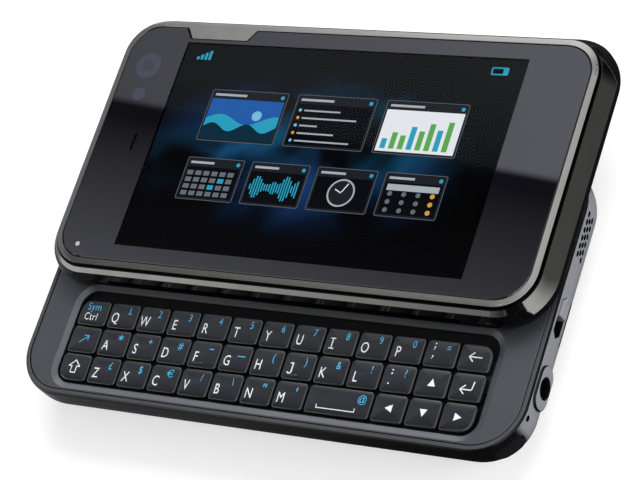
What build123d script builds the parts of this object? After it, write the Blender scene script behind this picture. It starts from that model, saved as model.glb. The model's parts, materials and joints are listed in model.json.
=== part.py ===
"""Landscape slider phone, in millimetres.

A flat screen half slides up over a keyboard half and uncovers three rows of keys. It is modelled open.
X runs along the phone, Y is the way the screen half opens, Z points out of the screen. The origin is
the middle of the keyboard half on its flat back.
"""
import os

from build123d import *

os.makedirs("parts", exist_ok=True)

# ---------------------------------------------------------------- the two halves
base_length = 109.4
base_width = 59.0
base_corner = 10.0
base_height = 11.4
base_belly = 8.2            # the side walls roll under to the flat back with this radius
base_shoulder = 0.6         # rounding of the rim round the keyboard

display_length = 110.4
display_width = 59.2
display_corner = 10.0
display_height = 6.3
display_edge_drop = 2.6     # height of the bevel between the glass and the widest line
display_front_rise = 1.3    # the front wall stays upright this far above the widest line
display_floor_round = 1.6

slide_gap = 0.3             # air between the halves
slide_travel = 23.2
play = 0.15                 # clearance round pieces that drop into a pocket
running = 0.08              # clearance of pieces that slide or turn in each other

# ---------------------------------------------------------------- screen half
window_end = 4.0            # from the end of the screen half to the glass
window_edge = 3.4           # from its long edge to the glass
window_corner = 6.3
window_thickness = 0.9
ring_width = 1.3
ring_height = 2.0
ring_round = 0.6
ring_lip = 0.2              # land of the case left outside the ring
tab_depth = 2.3
tab_bottom = 12.8
tab_slant = 1.8
tab_inset = 20.1            # from the end of the glass to the middle of the tab
earpiece_inset = 8.85       # from the end of the glass to the earpiece slot
earpiece_y = -0.4
earpiece_length = 3.9
earpiece_width = 0.8
panel_inset = 9.2           # from the end of the glass to the panel
panel_edge = 0.7            # from the long edge of the glass to the panel
panel_thickness = 2.3
screen_border = 3.0         # the panel's tray shows this far beyond the screen at the ends
screen_edge = 1.8
screen_step = 0.9
finger_groove_end = 16.2    # from the end of the screen half to the finger groove
finger_groove_height = 1.9
finger_groove_depth = 0.5
finger_groove_z = 14.6

# ---------------------------------------------------------------- slide
plate_thickness = 1.7
plate_end = 5.2             # from the end of the screen half to its slide plate
plate_edge = 3.1
plate_corner = 6.0
rail_inset = 10.0           # from the end of the slide plate to the middle of a rail
rail_edge = 5.5             # from the long edge of the keyboard half to the back end of a rail
rail_length = 18.0
rail_neck = 3.0
rail_head = 6.0
rail_head_thickness = 0.5
slot_lip = 0.6
slide_stop = 0.3

# ---------------------------------------------------------------- keyboard
key_pitch_y = 5.87
key_gap = 0.38
key_corner = 0.8
field_corner = 2.6
key_thickness = 0.7
key_crown = 0.22
key_travel = 0.25
rim_end = 1.3               # rim of the case left at each end of the deck
rim_edge = 1.35             # and along its long edges
deck_corner = 8.6
deck_strip = 1.5            # strip of the deck in front of the keys
deck_side = 7.365           # and beside them
deck_thickness = 0.8
deck_gap = 0.2
deck_round = 0.15
field_side = 0.6            # from the outer keys to the wall of the deck's opening
field_front = 0.35
field_back = 1.9
field_opening_corner = 3.4
field_slope = 1.2           # width of the shallow slope round the opening
field_slope_drop = 0.45
mat_thickness = 0.5
mat_border = 0.6            # the mat reaches this far under the deck
dome_side = 2.0
dome_height = 0.25
dome_gap = 0.1              # between a pressed key and its dome

# ---------------------------------------------------------------- inside the keyboard half
board_thickness = 0.8
board_inset = 5.3           # from the end of the keyboard half to the board
board_front_inset = 6.6
board_back_inset = 3.4
board_corner = 3.0
shield_height = 0.8
shield_length = 24.0
shield_width = 15.0
battery_inset = 10.3        # from the end of the keyboard half to the battery
battery_width = 34.0
battery_y = -2.0
battery_corner = 1.5
battery_bevel = 0.4
bay_wall = 1.8              # web between the battery bay and the lens pod
bay_web = 0.5               # web between the battery bay and the board
well_wall = 0.4             # clearance round the battery

# ---------------------------------------------------------------- back
cover_height = 1.4
cover_gap = 0.15
latch_length = 6.0
latch_depth = 1.0
latch_height = 1.6
latch_pitch = 34.0
latch_inset = 5.8
pod_inset = 25.1            # from the end of the keyboard half to the middle of the lens pod
pod_y = -2.0
pod_length = 35.0
pod_width = 23.6
pod_corner = 2.5
pod_height = 3.0
pod_clearance = 0.3
stand_length = 31.4
stand_width = 19.4
stand_bar = 2.4
stand_thickness = 1.0
stand_sink = 0.1            # the stand lies this far under the flat of the back
stand_groove = 1.45
stand_clearance = 0.3
stand_corner = 3.0
stand_round = 0.42
stand_pin_radius = 0.35
stand_pin_length = 0.8
scoop_radius = 4.0
scoop_depth = 0.8
shutter_length = 12.4
shutter_width = 10.6
shutter_thickness = 0.6
shutter_travel = 11.4
shutter_sink = 0.15
shutter_recess = 0.95
shutter_tongue = 0.4
shutter_tongue_thickness = 0.25
shutter_corner = 1.2
shutter_rib = 0.6
lens_hole_radius = 3.9
camera_size = 11.0
camera_gap = 0.05           # between the camera and the board
barrel_radius = 3.4
barrel_tip = 1.75
lens_radius = 2.0
lens_depth = 0.5
screw_end = 8.2
screw_edge = 9.7
screw_head_radius = 1.3
screw_head_height = 0.9
screw_radius = 0.7
screw_web = 1.1             # case left between a screw's end and the board
screw_slot = 0.35

# ---------------------------------------------------------------- ends and edges
jack_inset = 14.8           # from the front edge to the socket
jack_drop = 3.2             # from the top of the rim to the socket's axis
jack_bore_radius = 1.8
jack_bore_length = 11.5
jack_tip_radius = 1.3       # the narrow end of the bore, for the tip of the plug
jack_tip_length = 2.4
jack_back_wall = 0.4
jack_nose_radius = 2.05
jack_nose_sink = 0.2
jack_block_wall = 1.7       # from the end wall's face to the socket's block
jack_body_width = 6.4
jack_body_height = 4.4
jack_body_drop = 1.1
boss_length = 8.5
boss_height = 5.2
boss_proud = 0.6
boss_corner = 2.4
boss_round = 0.5
mic_inset = 8.2
mic_drop = 1.5
mic_radius = 0.6
mic_depth = 1.0

lock_y = -1.2
lock_drop = 2.5
lock_slot_length = 8.2
lock_slot_height = 3.0
lock_slot_depth = 1.3
lock_point = 1.1            # length of the slot's pointed ends
lock_knob_length = 4.2
lock_proud = 0.45
lock_round = 0.25

grille_inset = 14.4         # from the back edge to the middle of a grille
grille_drop = 2.6
grille_rows = 5
grille_row_pitch = 1.6
grille_column_pitch = 0.94
grille_slant = 0.58         # shift along the wall from one column to the next one down
grille_hole_length = 1.2
grille_hole_width = 0.84
speaker_length = 15.0
speaker_depth = 3.4
speaker_wall = 1.2
speaker_height = 3.3

top_key_drop = 2.6
top_key_height = 2.6
top_key_depth = 1.4         # how far a side key reaches into its pocket
top_key_free = 0.55         # room behind it
top_key_proud = 0.4
top_key_corner = 0.8
top_key_bevel = 0.3
volume_inset = 18.7
volume_length = 20.0
power_x = 6.0
power_length = 8.0
camera_key_inset = 16.7
camera_key_length = 13.0

stylus_inset = 3.4          # from the front edge to the stylus
stylus_drop = 4.2
stylus_radius = 1.7
stylus_length = 74.0        # shank and point, without the head
stylus_head_length = 8.7
stylus_head_width = 4.4
stylus_head_height = 3.8
stylus_head_inset = 0.25
stylus_tip = 3.0
stylus_tip_radius = 0.6

usb_y = -8.0
usb_drop = 2.3
usb_width = 7.8
usb_height = 2.5
usb_depth = 6.0
usb_wall = 0.35
usb_tongue = 0.6

# ---------------------------------------------------------------- worked-out levels
base_end = base_length / 2
base_edge = base_width / 2
window_length = display_length - 2 * window_end
window_width = display_width - 2 * window_edge
tab_x = tab_inset - window_length / 2
earpiece_x = earpiece_inset - window_length / 2
panel_length = window_length - 2 * panel_inset
panel_width = window_width - 2 * panel_edge
screen_length = panel_length - 2 * screen_border
screen_width = panel_width - 2 * screen_edge
finger_groove_length = display_length - 2 * finger_groove_end
plate_length = display_length - 2 * plate_end
plate_width = display_width - 2 * plate_edge
rail_x = plate_length / 2 - rail_inset
rail_back = base_edge - rail_edge
rail_front = rail_back - rail_length
display_floor = base_height + slide_gap
display_top = display_floor + display_height
window_floor = display_top - window_thickness
widest_line = window_floor - display_edge_drop
ring_inner_length = window_length + 2 * play
ring_inner_width = window_width + 2 * play
ring_inner_corner = window_corner + play
ring_length = ring_inner_length + 2 * ring_width
ring_outer_width = ring_inner_width + 2 * ring_width
ring_corner = ring_inner_corner + ring_width
bevel_length = ring_length + 2 * (play + ring_lip)
bevel_width = ring_outer_width + 2 * (play + ring_lip)
bevel_corner = ring_corner + play + ring_lip
shoulder_share = display_front_rise / display_edge_drop
shoulder_line = widest_line + display_front_rise
shoulder_length = display_length + shoulder_share * (bevel_length - display_length)
shoulder_corner = display_corner + shoulder_share * (bevel_corner - display_corner)
shoulder_back = shoulder_share * (display_width - bevel_width) / 2
shoulder_width = display_width - shoulder_back
plate_top = display_floor + plate_thickness
panel_floor = window_floor - play - panel_thickness
deck_seat = base_height - deck_thickness
key_top = base_height
key_bottom = key_top - key_thickness
mat_top = key_bottom - key_travel - dome_gap - dome_height
mat_floor = mat_top - mat_thickness
board_floor = mat_floor - 2 * play - shield_height - board_thickness
board_seat = board_floor - play
seam = cover_height + cover_gap
battery_thickness = board_seat - bay_web - seam - 2 * play
camera_bottom = pod_height + 2 * pod_clearance
camera_top = board_seat - camera_gap
camera_height = camera_top - camera_bottom
screw_length = board_seat - screw_web - seam - screw_head_height
jack_z = base_height - jack_drop
jack_body_top = base_height - jack_body_drop
jack_body_bottom = jack_body_top - jack_body_height
mic_z = base_height - mic_drop
lock_z = base_height - lock_drop
grille_z = base_height - grille_drop
speaker_bottom = deck_seat - speaker_height
top_key_z = base_height - top_key_drop
stylus_z = base_height - stylus_drop
usb_z = base_height - usb_drop
board_length = base_length - 2 * board_inset
board_front = -base_edge + board_front_inset
board_back = base_edge - board_back_inset
pod_x = base_end - pod_inset
battery_left = -base_end + battery_inset
battery_right = pod_x - pod_length / 2 - pod_clearance - bay_wall - well_wall
battery_length = battery_right - battery_left
battery_x = (battery_left + battery_right) / 2
latch_y = base_edge - latch_inset
screw_x = base_end - screw_end
screw_y = base_edge - screw_edge
jack_y = -base_edge + jack_inset
jack_block_end = base_end - jack_block_wall
mic_y = -base_edge + mic_inset
grille_y = base_edge - grille_inset
top_key_inner = base_edge - top_key_depth
top_key_pocket = top_key_inner - top_key_free
volume_x = -base_end + volume_inset
camera_key_x = base_end - camera_key_inset
stylus_y = -base_edge + stylus_inset
stylus_head_start = base_end - stylus_head_length
stylus_end = stylus_head_start - stylus_length
boss_face = base_end + boss_proud
jack_nose_face = boss_face - jack_nose_sink
jack_bore_end = jack_nose_face - jack_bore_length
jack_block_start = jack_bore_end - play
jack_tail_start = jack_bore_end - jack_tip_length - jack_back_wall
jack_tail_top = mat_floor - play
head_bottom = display_floor + slot_lip + running
field_columns = 13
field_rows = 3
deck_length = base_length - 2 * rim_end
deck_width = base_width - 2 * rim_edge
key_pitch_x = (deck_length - 2 * deck_side - 2 * field_side) / field_columns
field_length = field_columns * key_pitch_x
field_width = field_rows * key_pitch_y
key_field_y = -deck_width / 2 + deck_strip + field_front + field_width / 2
opening_length = field_length + 2 * field_side
opening_front = key_field_y - field_width / 2 - field_front
opening_back = key_field_y + field_width / 2 + field_back
opening_width = opening_back - opening_front
opening_y = (opening_back + opening_front) / 2


def base_plane(height, x=0.0, y=0.0):
    """Level plane of the keyboard half."""
    return Plane((x, y, height))


def display_plane(height, x=0.0, y=0.0):
    """Level plane of the screen half, which stands open by the slide's travel."""
    return Plane((x, y + slide_travel, height))


def end_plane(side, x, y, z):
    """Upright plane that looks out of the right end (side 1) or the left end (side -1)."""
    return Plane((side * x, y, z), x_dir=(0, side, 0), z_dir=(side, 0, 0))


def back_edge_plane(x, y, z):
    """Upright plane that looks out of the long edge behind the screen half."""
    return Plane((x, y, z), x_dir=(-1, 0, 0), z_dir=(0, 1, 0))


def save(piece, name):
    """Label one finished piece and write it."""
    piece.part.label = name
    export_step(piece.part, f"parts/{name}.step")


# ================================================================ screen half
with BuildPart() as display_window:
    with BuildSketch(display_plane(window_floor)):
        RectangleRounded(window_length, window_width, window_corner)
        with BuildLine():
            Polyline(
                (tab_x - tab_bottom / 2 - tab_slant - play, window_width / 2 + play),
                (tab_x - tab_bottom / 2 - play, window_width / 2 - tab_depth - play),
                (tab_x + tab_bottom / 2 + play, window_width / 2 - tab_depth - play),
                (tab_x + tab_bottom / 2 + tab_slant + play, window_width / 2 + play),
                close=True,
            )
        make_face(mode=Mode.SUBTRACT)
        with Locations((earpiece_x, earpiece_y)):
            SlotOverall(earpiece_length, earpiece_width, rotation=90, mode=Mode.SUBTRACT)
    extrude(amount=window_thickness)
save(display_window, "display_window")

with BuildPart() as bezel_frame:
    with BuildSketch(display_plane(display_top - ring_height)):
        RectangleRounded(ring_length, ring_outer_width, ring_corner)
        RectangleRounded(ring_inner_length, ring_inner_width, ring_inner_corner, mode=Mode.SUBTRACT)
    extrude(amount=ring_height)
    outer_edges = bezel_frame.faces().sort_by(Axis.Z)[-1].outer_wire().edges()
    fillet(outer_edges, ring_round)
    with BuildSketch(display_plane(window_floor)):
        with BuildLine():
            Polyline(
                (tab_x - tab_bottom / 2 - tab_slant, ring_inner_width / 2 + play),
                (tab_x - tab_bottom / 2, window_width / 2 - tab_depth),
                (tab_x + tab_bottom / 2, window_width / 2 - tab_depth),
                (tab_x + tab_bottom / 2 + tab_slant, ring_inner_width / 2 + play),
                close=True,
            )
        make_face()
    extrude(amount=window_thickness)
save(bezel_frame, "bezel_frame")

with BuildPart() as display_shell:
    with BuildSketch(display_plane(display_floor)):
        RectangleRounded(display_length, display_width, display_corner)
    extrude(amount=widest_line - display_floor)
    fillet(display_shell.faces().sort_by(Axis.Z)[0].edges(), display_floor_round)
    # the ends and the back slope in from the widest line, the front wall only from the shoulder above it
    with BuildSketch(display_plane(widest_line)):
        RectangleRounded(display_length, display_width, display_corner)
    with BuildSketch(display_plane(shoulder_line)):
        with Locations((0, -shoulder_back / 2)):
            RectangleRounded(shoulder_length, shoulder_width, shoulder_corner)
    loft(ruled=True)
    with BuildSketch(display_plane(shoulder_line)):
        with Locations((0, -shoulder_back / 2)):
            RectangleRounded(shoulder_length, shoulder_width, shoulder_corner)
    with BuildSketch(display_plane(window_floor)):
        RectangleRounded(bevel_length, bevel_width, bevel_corner)
    loft(ruled=True)
    # groove for the ring
    with BuildSketch(display_plane(display_top - ring_height)):
        RectangleRounded(ring_length + 2 * play, ring_outer_width + 2 * play, ring_corner + play)
        RectangleRounded(
            ring_inner_length - 2 * play,
            ring_inner_width - 2 * play,
            ring_inner_corner - play,
            mode=Mode.SUBTRACT,
        )
    extrude(amount=ring_height, mode=Mode.SUBTRACT)
    # space for the panel
    with BuildSketch(display_plane(panel_floor - play)):
        Rectangle(panel_length + 2 * play, panel_width + 2 * play)
    extrude(amount=panel_thickness + 2 * play, mode=Mode.SUBTRACT)
    # pocket for the slide plate
    with BuildSketch(display_plane(display_floor)):
        RectangleRounded(plate_length + 2 * play, plate_width + 2 * play, plate_corner + play)
    extrude(amount=plate_thickness, mode=Mode.SUBTRACT)
    # finger groove in the front wall
    front = Plane(
        (0, slide_travel - display_width / 2, finger_groove_z), x_dir=(1, 0, 0), z_dir=(0, -1, 0)
    )
    with BuildSketch(front):
        SlotOverall(finger_groove_length, finger_groove_height)
    extrude(amount=-finger_groove_depth, mode=Mode.SUBTRACT)
save(display_shell, "display_shell")

with BuildPart() as lcd_module:
    with BuildSketch(display_plane(panel_floor)):
        Rectangle(panel_length, panel_width)
    extrude(amount=panel_thickness - screen_step)
    with BuildSketch(display_plane(panel_floor + panel_thickness - screen_step)):
        Rectangle(screen_length, screen_width)
    extrude(amount=screen_step)
save(lcd_module, "lcd_module")

slot_front = rail_front - slide_stop
slot_back = rail_back + slide_travel + slide_stop
slot_middle = (slot_front + slot_back) / 2 - slide_travel
slot_length = slot_back - slot_front
head_clear = rail_head_thickness + 2 * running
with BuildPart() as slide_plate:
    with BuildSketch(display_plane(display_floor)):
        RectangleRounded(plate_length, plate_width, plate_corner)
    extrude(amount=plate_thickness)
    with BuildSketch(display_plane(display_floor)):
        with Locations((-rail_x, slot_middle), (rail_x, slot_middle)):
            Rectangle(rail_neck + 2 * running, slot_length)
    extrude(amount=slot_lip, mode=Mode.SUBTRACT)
    with BuildSketch(display_plane(display_floor + slot_lip)):
        with Locations((-rail_x, slot_middle), (rail_x, slot_middle)):
            Rectangle(rail_head + 2 * running, slot_length)
    extrude(amount=head_clear, mode=Mode.SUBTRACT)
save(slide_plate, "slide_plate")

# ================================================================ keyboard deck and keys
rail_middle = (rail_back + rail_front) / 2
with BuildPart() as keyboard_deck:
    with BuildSketch(base_plane(deck_seat)):
        RectangleRounded(deck_length, deck_width, deck_corner)
        with Locations((0, opening_y)):
            RectangleRounded(opening_length, opening_width, field_opening_corner, mode=Mode.SUBTRACT)
    extrude(amount=deck_thickness)
    deck_face = keyboard_deck.faces().sort_by(Axis.Z)[-1]
    opening_edges = deck_face.inner_wires()[0].edges()
    rim_edges = deck_face.outer_wire().edges()
    chamfer(opening_edges, field_slope, field_slope_drop, reference=deck_face)
    fillet(rim_edges, deck_round)
    with BuildSketch(base_plane(base_height)):
        with Locations((-rail_x, rail_middle), (rail_x, rail_middle)):
            Rectangle(rail_neck, rail_length)
    extrude(amount=head_bottom - base_height)
    with BuildSketch(base_plane(head_bottom)):
        with Locations((-rail_x, rail_middle), (rail_x, rail_middle)):
            Rectangle(rail_head, rail_length)
    extrude(amount=rail_head_thickness)
save(keyboard_deck, "keyboard_deck")

# name of each key, row by row from the one next to the screen, left to right
key_rows = (
    ("ctrl", "q", "w", "e", "r", "t", "y", "u", "i", "o", "p", "semicolon", "backspace"),
    ("fn", "a", "s", "d", "f", "g", "h", "j", "k", "l", "colon", "up", "enter"),
    ("shift", "z", "x", "c", "v", "b", "n", "m", "space", "left", "down", "right"),
)
wide_key = "space"          # takes two places of the grid
field_left = -field_length / 2
field_top = key_field_y + field_width / 2
key_places = []
for row, names in enumerate(key_rows):
    column = 0
    for name in names:
        places = 2 if name == wide_key else 1
        centre_x = field_left + (column + places / 2) * key_pitch_x
        centre_y = field_top - (row + 0.5) * key_pitch_y
        outer = (column in (0, field_columns - places)) and row in (0, field_rows - 1)
        key_places.append((name, centre_x, centre_y, places, outer))
        column += places

for name, centre_x, centre_y, places, outer in key_places:
    width = places * key_pitch_x - key_gap
    depth = key_pitch_y - key_gap
    with BuildPart() as key:
        with BuildSketch(base_plane(key_bottom, centre_x, centre_y)):
            RectangleRounded(width, depth, key_corner)
            if outer:
                # the key in a corner of the field follows the field's round corner
                with Locations((-centre_x, key_field_y - centre_y)):
                    RectangleRounded(
                        field_length - key_gap, field_width - key_gap, field_corner, mode=Mode.INTERSECT
                    )
        extrude(amount=key_thickness)
        chamfer(key.faces().sort_by(Axis.Z)[-1].edges(), key_crown)
    save(key, f"key_{name}")

mat_length = opening_length + 2 * mat_border
mat_width = opening_width + 2 * mat_border
with BuildPart() as key_mat:
    with BuildSketch(base_plane(mat_floor)):
        with Locations((0, opening_y)):
            RectangleRounded(mat_length, mat_width, field_opening_corner)
    extrude(amount=mat_thickness)
    with BuildSketch(base_plane(mat_top)):
        with Locations(*[(place[1], place[2]) for place in key_places]):
            Rectangle(dome_side, dome_side)
    extrude(amount=dome_height)
    # notch for the headset socket
    notch_length = mat_length / 2 - jack_block_start + play
    with BuildSketch(base_plane(mat_floor, mat_length / 2 - notch_length / 2, jack_y)):
        Rectangle(notch_length, jack_body_width + 2 * play)
    extrude(amount=mat_thickness, mode=Mode.SUBTRACT)
save(key_mat, "key_mat")

# ================================================================ keyboard half, outside form
with BuildPart() as hull:
    with BuildSketch(base_plane(0)):
        RectangleRounded(base_length, base_width, base_corner)
    extrude(amount=base_height)
    fillet(hull.faces().sort_by(Axis.Z)[0].edges(), base_belly)
    fillet(hull.faces().sort_by(Axis.Z)[-1].edges(), base_shoulder)

latch_places = [(column * latch_pitch, side * latch_y) for column in (-1, 0, 1) for side in (-1, 1)]
pod_top_clear = pod_height + pod_clearance
stand_groove_length = stand_length + 2 * stand_clearance
stand_groove_width = stand_width + 2 * stand_clearance
island_length = stand_length - 2 * stand_bar - 2 * stand_clearance
island_width = stand_width - 2 * stand_bar - 2 * stand_clearance
hinge_z = stand_sink + stand_thickness / 2
hinge_y = pod_y + stand_width / 2 - stand_thickness / 2
recess_length = shutter_length + shutter_travel + 2 * play
recess_width = shutter_width + 2 * play
shutter_x = pod_x - recess_length / 2 + play + shutter_length / 2
tongue_z = shutter_sink + (shutter_thickness - shutter_tongue_thickness) / 2
board_width = board_back - board_front
board_y = (board_back + board_front) / 2
right_end = base_end - speaker_wall

with BuildPart() as battery_cover:
    add(hull.part)
    split(bisect_by=base_plane(cover_height), keep=Keep.BOTTOM)
    with BuildSketch(base_plane(cover_height, pod_x, pod_y)):
        RectangleRounded(pod_length, pod_width, pod_corner)
    extrude(amount=pod_height - cover_height)
    with BuildSketch(base_plane(cover_height)):
        with Locations(*latch_places):
            Rectangle(latch_length, latch_depth)
    extrude(amount=latch_height)
    # groove of the stand round the lens island
    with BuildSketch(base_plane(0, pod_x, pod_y)) as groove:
        Rectangle(stand_groove_length, stand_groove_width)
        far_corners = groove.vertices().group_by(Axis.Y)[0]
        fillet(far_corners, stand_corner + stand_clearance)
        Rectangle(island_length, island_width, mode=Mode.SUBTRACT)
    extrude(amount=stand_groove, mode=Mode.SUBTRACT)
    with BuildSketch(end_plane(1, pod_x, hinge_y, hinge_z)):
        Circle(stand_pin_radius + running)
    extrude(
        amount=stand_length / 2 + stand_pin_length + running,
        both=True,
        mode=Mode.SUBTRACT,
    )
    # finger scoop at the free bar of the stand
    with BuildSketch(base_plane(0, pod_x, pod_y - stand_groove_width / 2)):
        Circle(scoop_radius)
        with Locations((0, stand_bar / 2 + scoop_radius)):
            Rectangle(2 * scoop_radius, 2 * scoop_radius + stand_bar, mode=Mode.SUBTRACT)
    extrude(amount=scoop_depth, mode=Mode.SUBTRACT)
    # recess and runners of the lens shutter
    with BuildSketch(base_plane(0, pod_x, pod_y)):
        Rectangle(recess_length, recess_width)
    extrude(amount=shutter_recess, mode=Mode.SUBTRACT)
    with BuildSketch(base_plane(tongue_z - running, pod_x, pod_y)):
        Rectangle(recess_length, recess_width + 2 * shutter_tongue)
    extrude(amount=shutter_tongue_thickness + 2 * running, mode=Mode.SUBTRACT)
    with BuildSketch(base_plane(0, shutter_x, pod_y)):
        Circle(lens_hole_radius)
    extrude(amount=pod_height, mode=Mode.SUBTRACT)
save(battery_cover, "battery_cover")

with BuildPart() as kickstand:
    with BuildSketch(base_plane(stand_sink, pod_x, pod_y)) as ring:
        Rectangle(stand_length, stand_width)
        fillet(ring.vertices().group_by(Axis.Y)[0], stand_corner)
        Rectangle(stand_length - 2 * stand_bar, stand_width - 2 * stand_bar, mode=Mode.SUBTRACT)
    extrude(amount=stand_thickness)
    hinge_edges = kickstand.edges().filter_by(Axis.X).group_by(Axis.Y)[-1]
    fillet(hinge_edges, stand_round)
    with BuildSketch(end_plane(1, pod_x, hinge_y, hinge_z)):
        Circle(stand_pin_radius)
    extrude(amount=stand_length / 2 + stand_pin_length, both=True)
    with BuildSketch(base_plane(stand_sink, pod_x, pod_y)):
        Rectangle(stand_length - 2 * stand_bar, stand_width - 2 * stand_bar)
    extrude(amount=stand_thickness, mode=Mode.SUBTRACT)
save(kickstand, "kickstand")

with BuildPart() as camera_shutter:
    with BuildSketch(base_plane(shutter_sink, shutter_x, pod_y)):
        RectangleRounded(shutter_length, shutter_width, shutter_corner)
    extrude(amount=shutter_thickness)
    with BuildSketch(base_plane(tongue_z, shutter_x, pod_y)):
        Rectangle(shutter_length - 2 * shutter_corner, shutter_width + 2 * (shutter_tongue - running))
    extrude(amount=shutter_tongue_thickness)
    with BuildSketch(base_plane(shutter_sink, shutter_x, pod_y)):
        with GridLocations(2 * shutter_rib, 0, 4, 1):
            Rectangle(shutter_rib, shutter_width - 4 * shutter_corner)
    extrude(amount=shutter_thickness / 3, mode=Mode.SUBTRACT)
save(camera_shutter, "camera_shutter")

with BuildPart() as camera_module:
    with BuildSketch(base_plane(camera_bottom, shutter_x, pod_y)):
        Rectangle(camera_size, camera_size)
    extrude(amount=camera_height)
    with BuildSketch(base_plane(barrel_tip, shutter_x, pod_y)):
        Circle(barrel_radius)
    extrude(amount=camera_bottom - barrel_tip)
    with BuildSketch(base_plane(barrel_tip, shutter_x, pod_y)):
        Circle(lens_radius)
    extrude(amount=lens_depth, mode=Mode.SUBTRACT)
save(camera_module, "camera_module")

with BuildPart() as battery:
    with BuildSketch(base_plane(seam + play, battery_x, battery_y)):
        RectangleRounded(battery_length, battery_width, battery_corner)
    extrude(amount=battery_thickness)
    chamfer(battery.faces().sort_by(Axis.Z)[0].edges(), battery_bevel)
save(battery, "battery")

screw_places = [(sx * screw_x, sy * screw_y) for sx in (-1, 1) for sy in (-1, 1)]
with BuildPart() as housing_screws:
    with BuildSketch(base_plane(seam)):
        with Locations(*screw_places):
            Circle(screw_head_radius)
    extrude(amount=screw_head_height)
    with BuildSketch(base_plane(seam + screw_head_height)):
        with Locations(*screw_places):
            Circle(screw_radius)
    extrude(amount=screw_length)
    with BuildSketch(base_plane(seam)):
        with Locations(*screw_places):
            Rectangle(1.4 * screw_head_radius, screw_slot)
            Rectangle(screw_slot, 1.4 * screw_head_radius)
    extrude(amount=screw_head_height / 2, mode=Mode.SUBTRACT)
save(housing_screws, "housing_screws")

# ================================================================ ends and edges
jack_block_length = jack_block_end - jack_block_start
jack_tail_length = jack_block_start - jack_tail_start
jack_block_x = jack_block_start + jack_block_length / 2
jack_tail_x = jack_tail_start + jack_tail_length / 2
with BuildPart() as headset_jack:
    with BuildSketch(base_plane(jack_body_bottom, jack_block_x, jack_y)):
        Rectangle(jack_block_length, jack_body_width)
    extrude(amount=jack_body_top - jack_body_bottom)
    with BuildSketch(base_plane(jack_body_bottom, jack_tail_x, jack_y)):
        Rectangle(jack_tail_length, jack_body_width)
    extrude(amount=jack_tail_top - jack_body_bottom)
    with BuildSketch(end_plane(1, jack_block_end, jack_y, jack_z)):
        Circle(jack_nose_radius)
    extrude(amount=jack_nose_face - jack_block_end)
    with BuildSketch(end_plane(1, jack_bore_end, jack_y, jack_z)):
        Circle(jack_bore_radius)
    extrude(amount=jack_bore_length, mode=Mode.SUBTRACT)
    with BuildSketch(end_plane(1, jack_bore_end - jack_tip_length, jack_y, jack_z)):
        Circle(jack_tip_radius)
    extrude(amount=jack_tip_length, mode=Mode.SUBTRACT)
save(headset_jack, "headset_jack")

lock_face = base_end + lock_proud
lock_floor = base_end - lock_slot_depth
lock_straight = lock_slot_length / 2 - lock_point
lock_outline = (
    (-lock_slot_length / 2, 0),
    (-lock_straight, -lock_slot_height / 2),
    (lock_straight, -lock_slot_height / 2),
    (lock_slot_length / 2, 0),
    (lock_straight, lock_slot_height / 2),
    (-lock_straight, lock_slot_height / 2),
)
lock_knob_middle = lock_slot_length / 2 - lock_knob_length / 2
with BuildPart() as lock_switch:
    with BuildSketch(end_plane(1, lock_floor + play, lock_y, lock_z)):
        with BuildLine():
            Polyline(*lock_outline, close=True)
        make_face()
        offset(amount=-play, kind=Kind.INTERSECTION)
        with Locations((lock_knob_middle, 0)):
            Rectangle(lock_knob_length, lock_slot_height, mode=Mode.INTERSECT)
    extrude(amount=lock_face - lock_floor - play)
    fillet(lock_switch.faces().sort_by(Axis.X)[-1].edges(), lock_round)
save(lock_switch, "lock_switch")

top_keys = (
    ("volume_key", volume_x, volume_length),
    ("power_key", power_x, power_length),
    ("camera_key", camera_key_x, camera_key_length),
)
for name, centre_x, key_length in top_keys:
    with BuildPart() as top_key:
        with BuildSketch(back_edge_plane(centre_x, top_key_inner, top_key_z)):
            RectangleRounded(key_length, top_key_height, top_key_corner)
        extrude(amount=base_edge + top_key_proud - top_key_inner)
        chamfer(top_key.faces().sort_by(Axis.Y)[-1].edges(), top_key_bevel)
    save(top_key, name)

with BuildPart() as stylus:
    with BuildSketch(end_plane(1, stylus_end + stylus_tip, stylus_y, stylus_z)):
        Circle(stylus_radius)
    extrude(amount=stylus_head_start - stylus_end - stylus_tip)
    with BuildSketch(end_plane(1, stylus_end + stylus_tip, stylus_y, stylus_z)):
        Circle(stylus_radius)
    with BuildSketch(end_plane(1, stylus_end, stylus_y, stylus_z)):
        Circle(stylus_tip_radius)
    loft()
    with BuildSketch(end_plane(1, stylus_head_start, stylus_y, stylus_z)):
        RectangleRounded(stylus_head_width, stylus_head_height, 1.2)
    extrude(amount=base_end - stylus_head_start)
    # the head ends just inside the round corner of the case
    with BuildSketch(base_plane(0)):
        RectangleRounded(
            base_length - 2 * stylus_head_inset,
            base_width - 2 * stylus_head_inset,
            base_corner - stylus_head_inset,
        )
    extrude(amount=base_height, mode=Mode.INTERSECT)
save(stylus, "stylus")

# slanted rows of three holes, and one more at either end of the outer columns
grille_middle_row = (grille_rows - 1) / 2
grille_steps = [(row - grille_middle_row, column) for row in range(grille_rows) for column in (-1, 0, 1)]
grille_steps += [(side * (grille_middle_row + 1), side) for side in (-1, 1)]
grille_places = [
    (step * grille_row_pitch - column * grille_slant, column * grille_column_pitch) for step, column in grille_steps
]
speaker_top = deck_seat - play
with BuildPart() as speakers:
    for side in (-1, 1):
        speaker_x = side * (right_end - play - speaker_depth / 2)
        with BuildSketch(base_plane(speaker_bottom + play, speaker_x, grille_y)):
            Rectangle(speaker_depth, speaker_length)
        extrude(amount=speaker_top - speaker_bottom - play)
        with BuildSketch(end_plane(side, right_end - play, grille_y, grille_z)):
            SlotOverall(speaker_length - 4, 2)
        extrude(amount=-0.3, mode=Mode.SUBTRACT)
save(speakers, "speakers")

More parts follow.
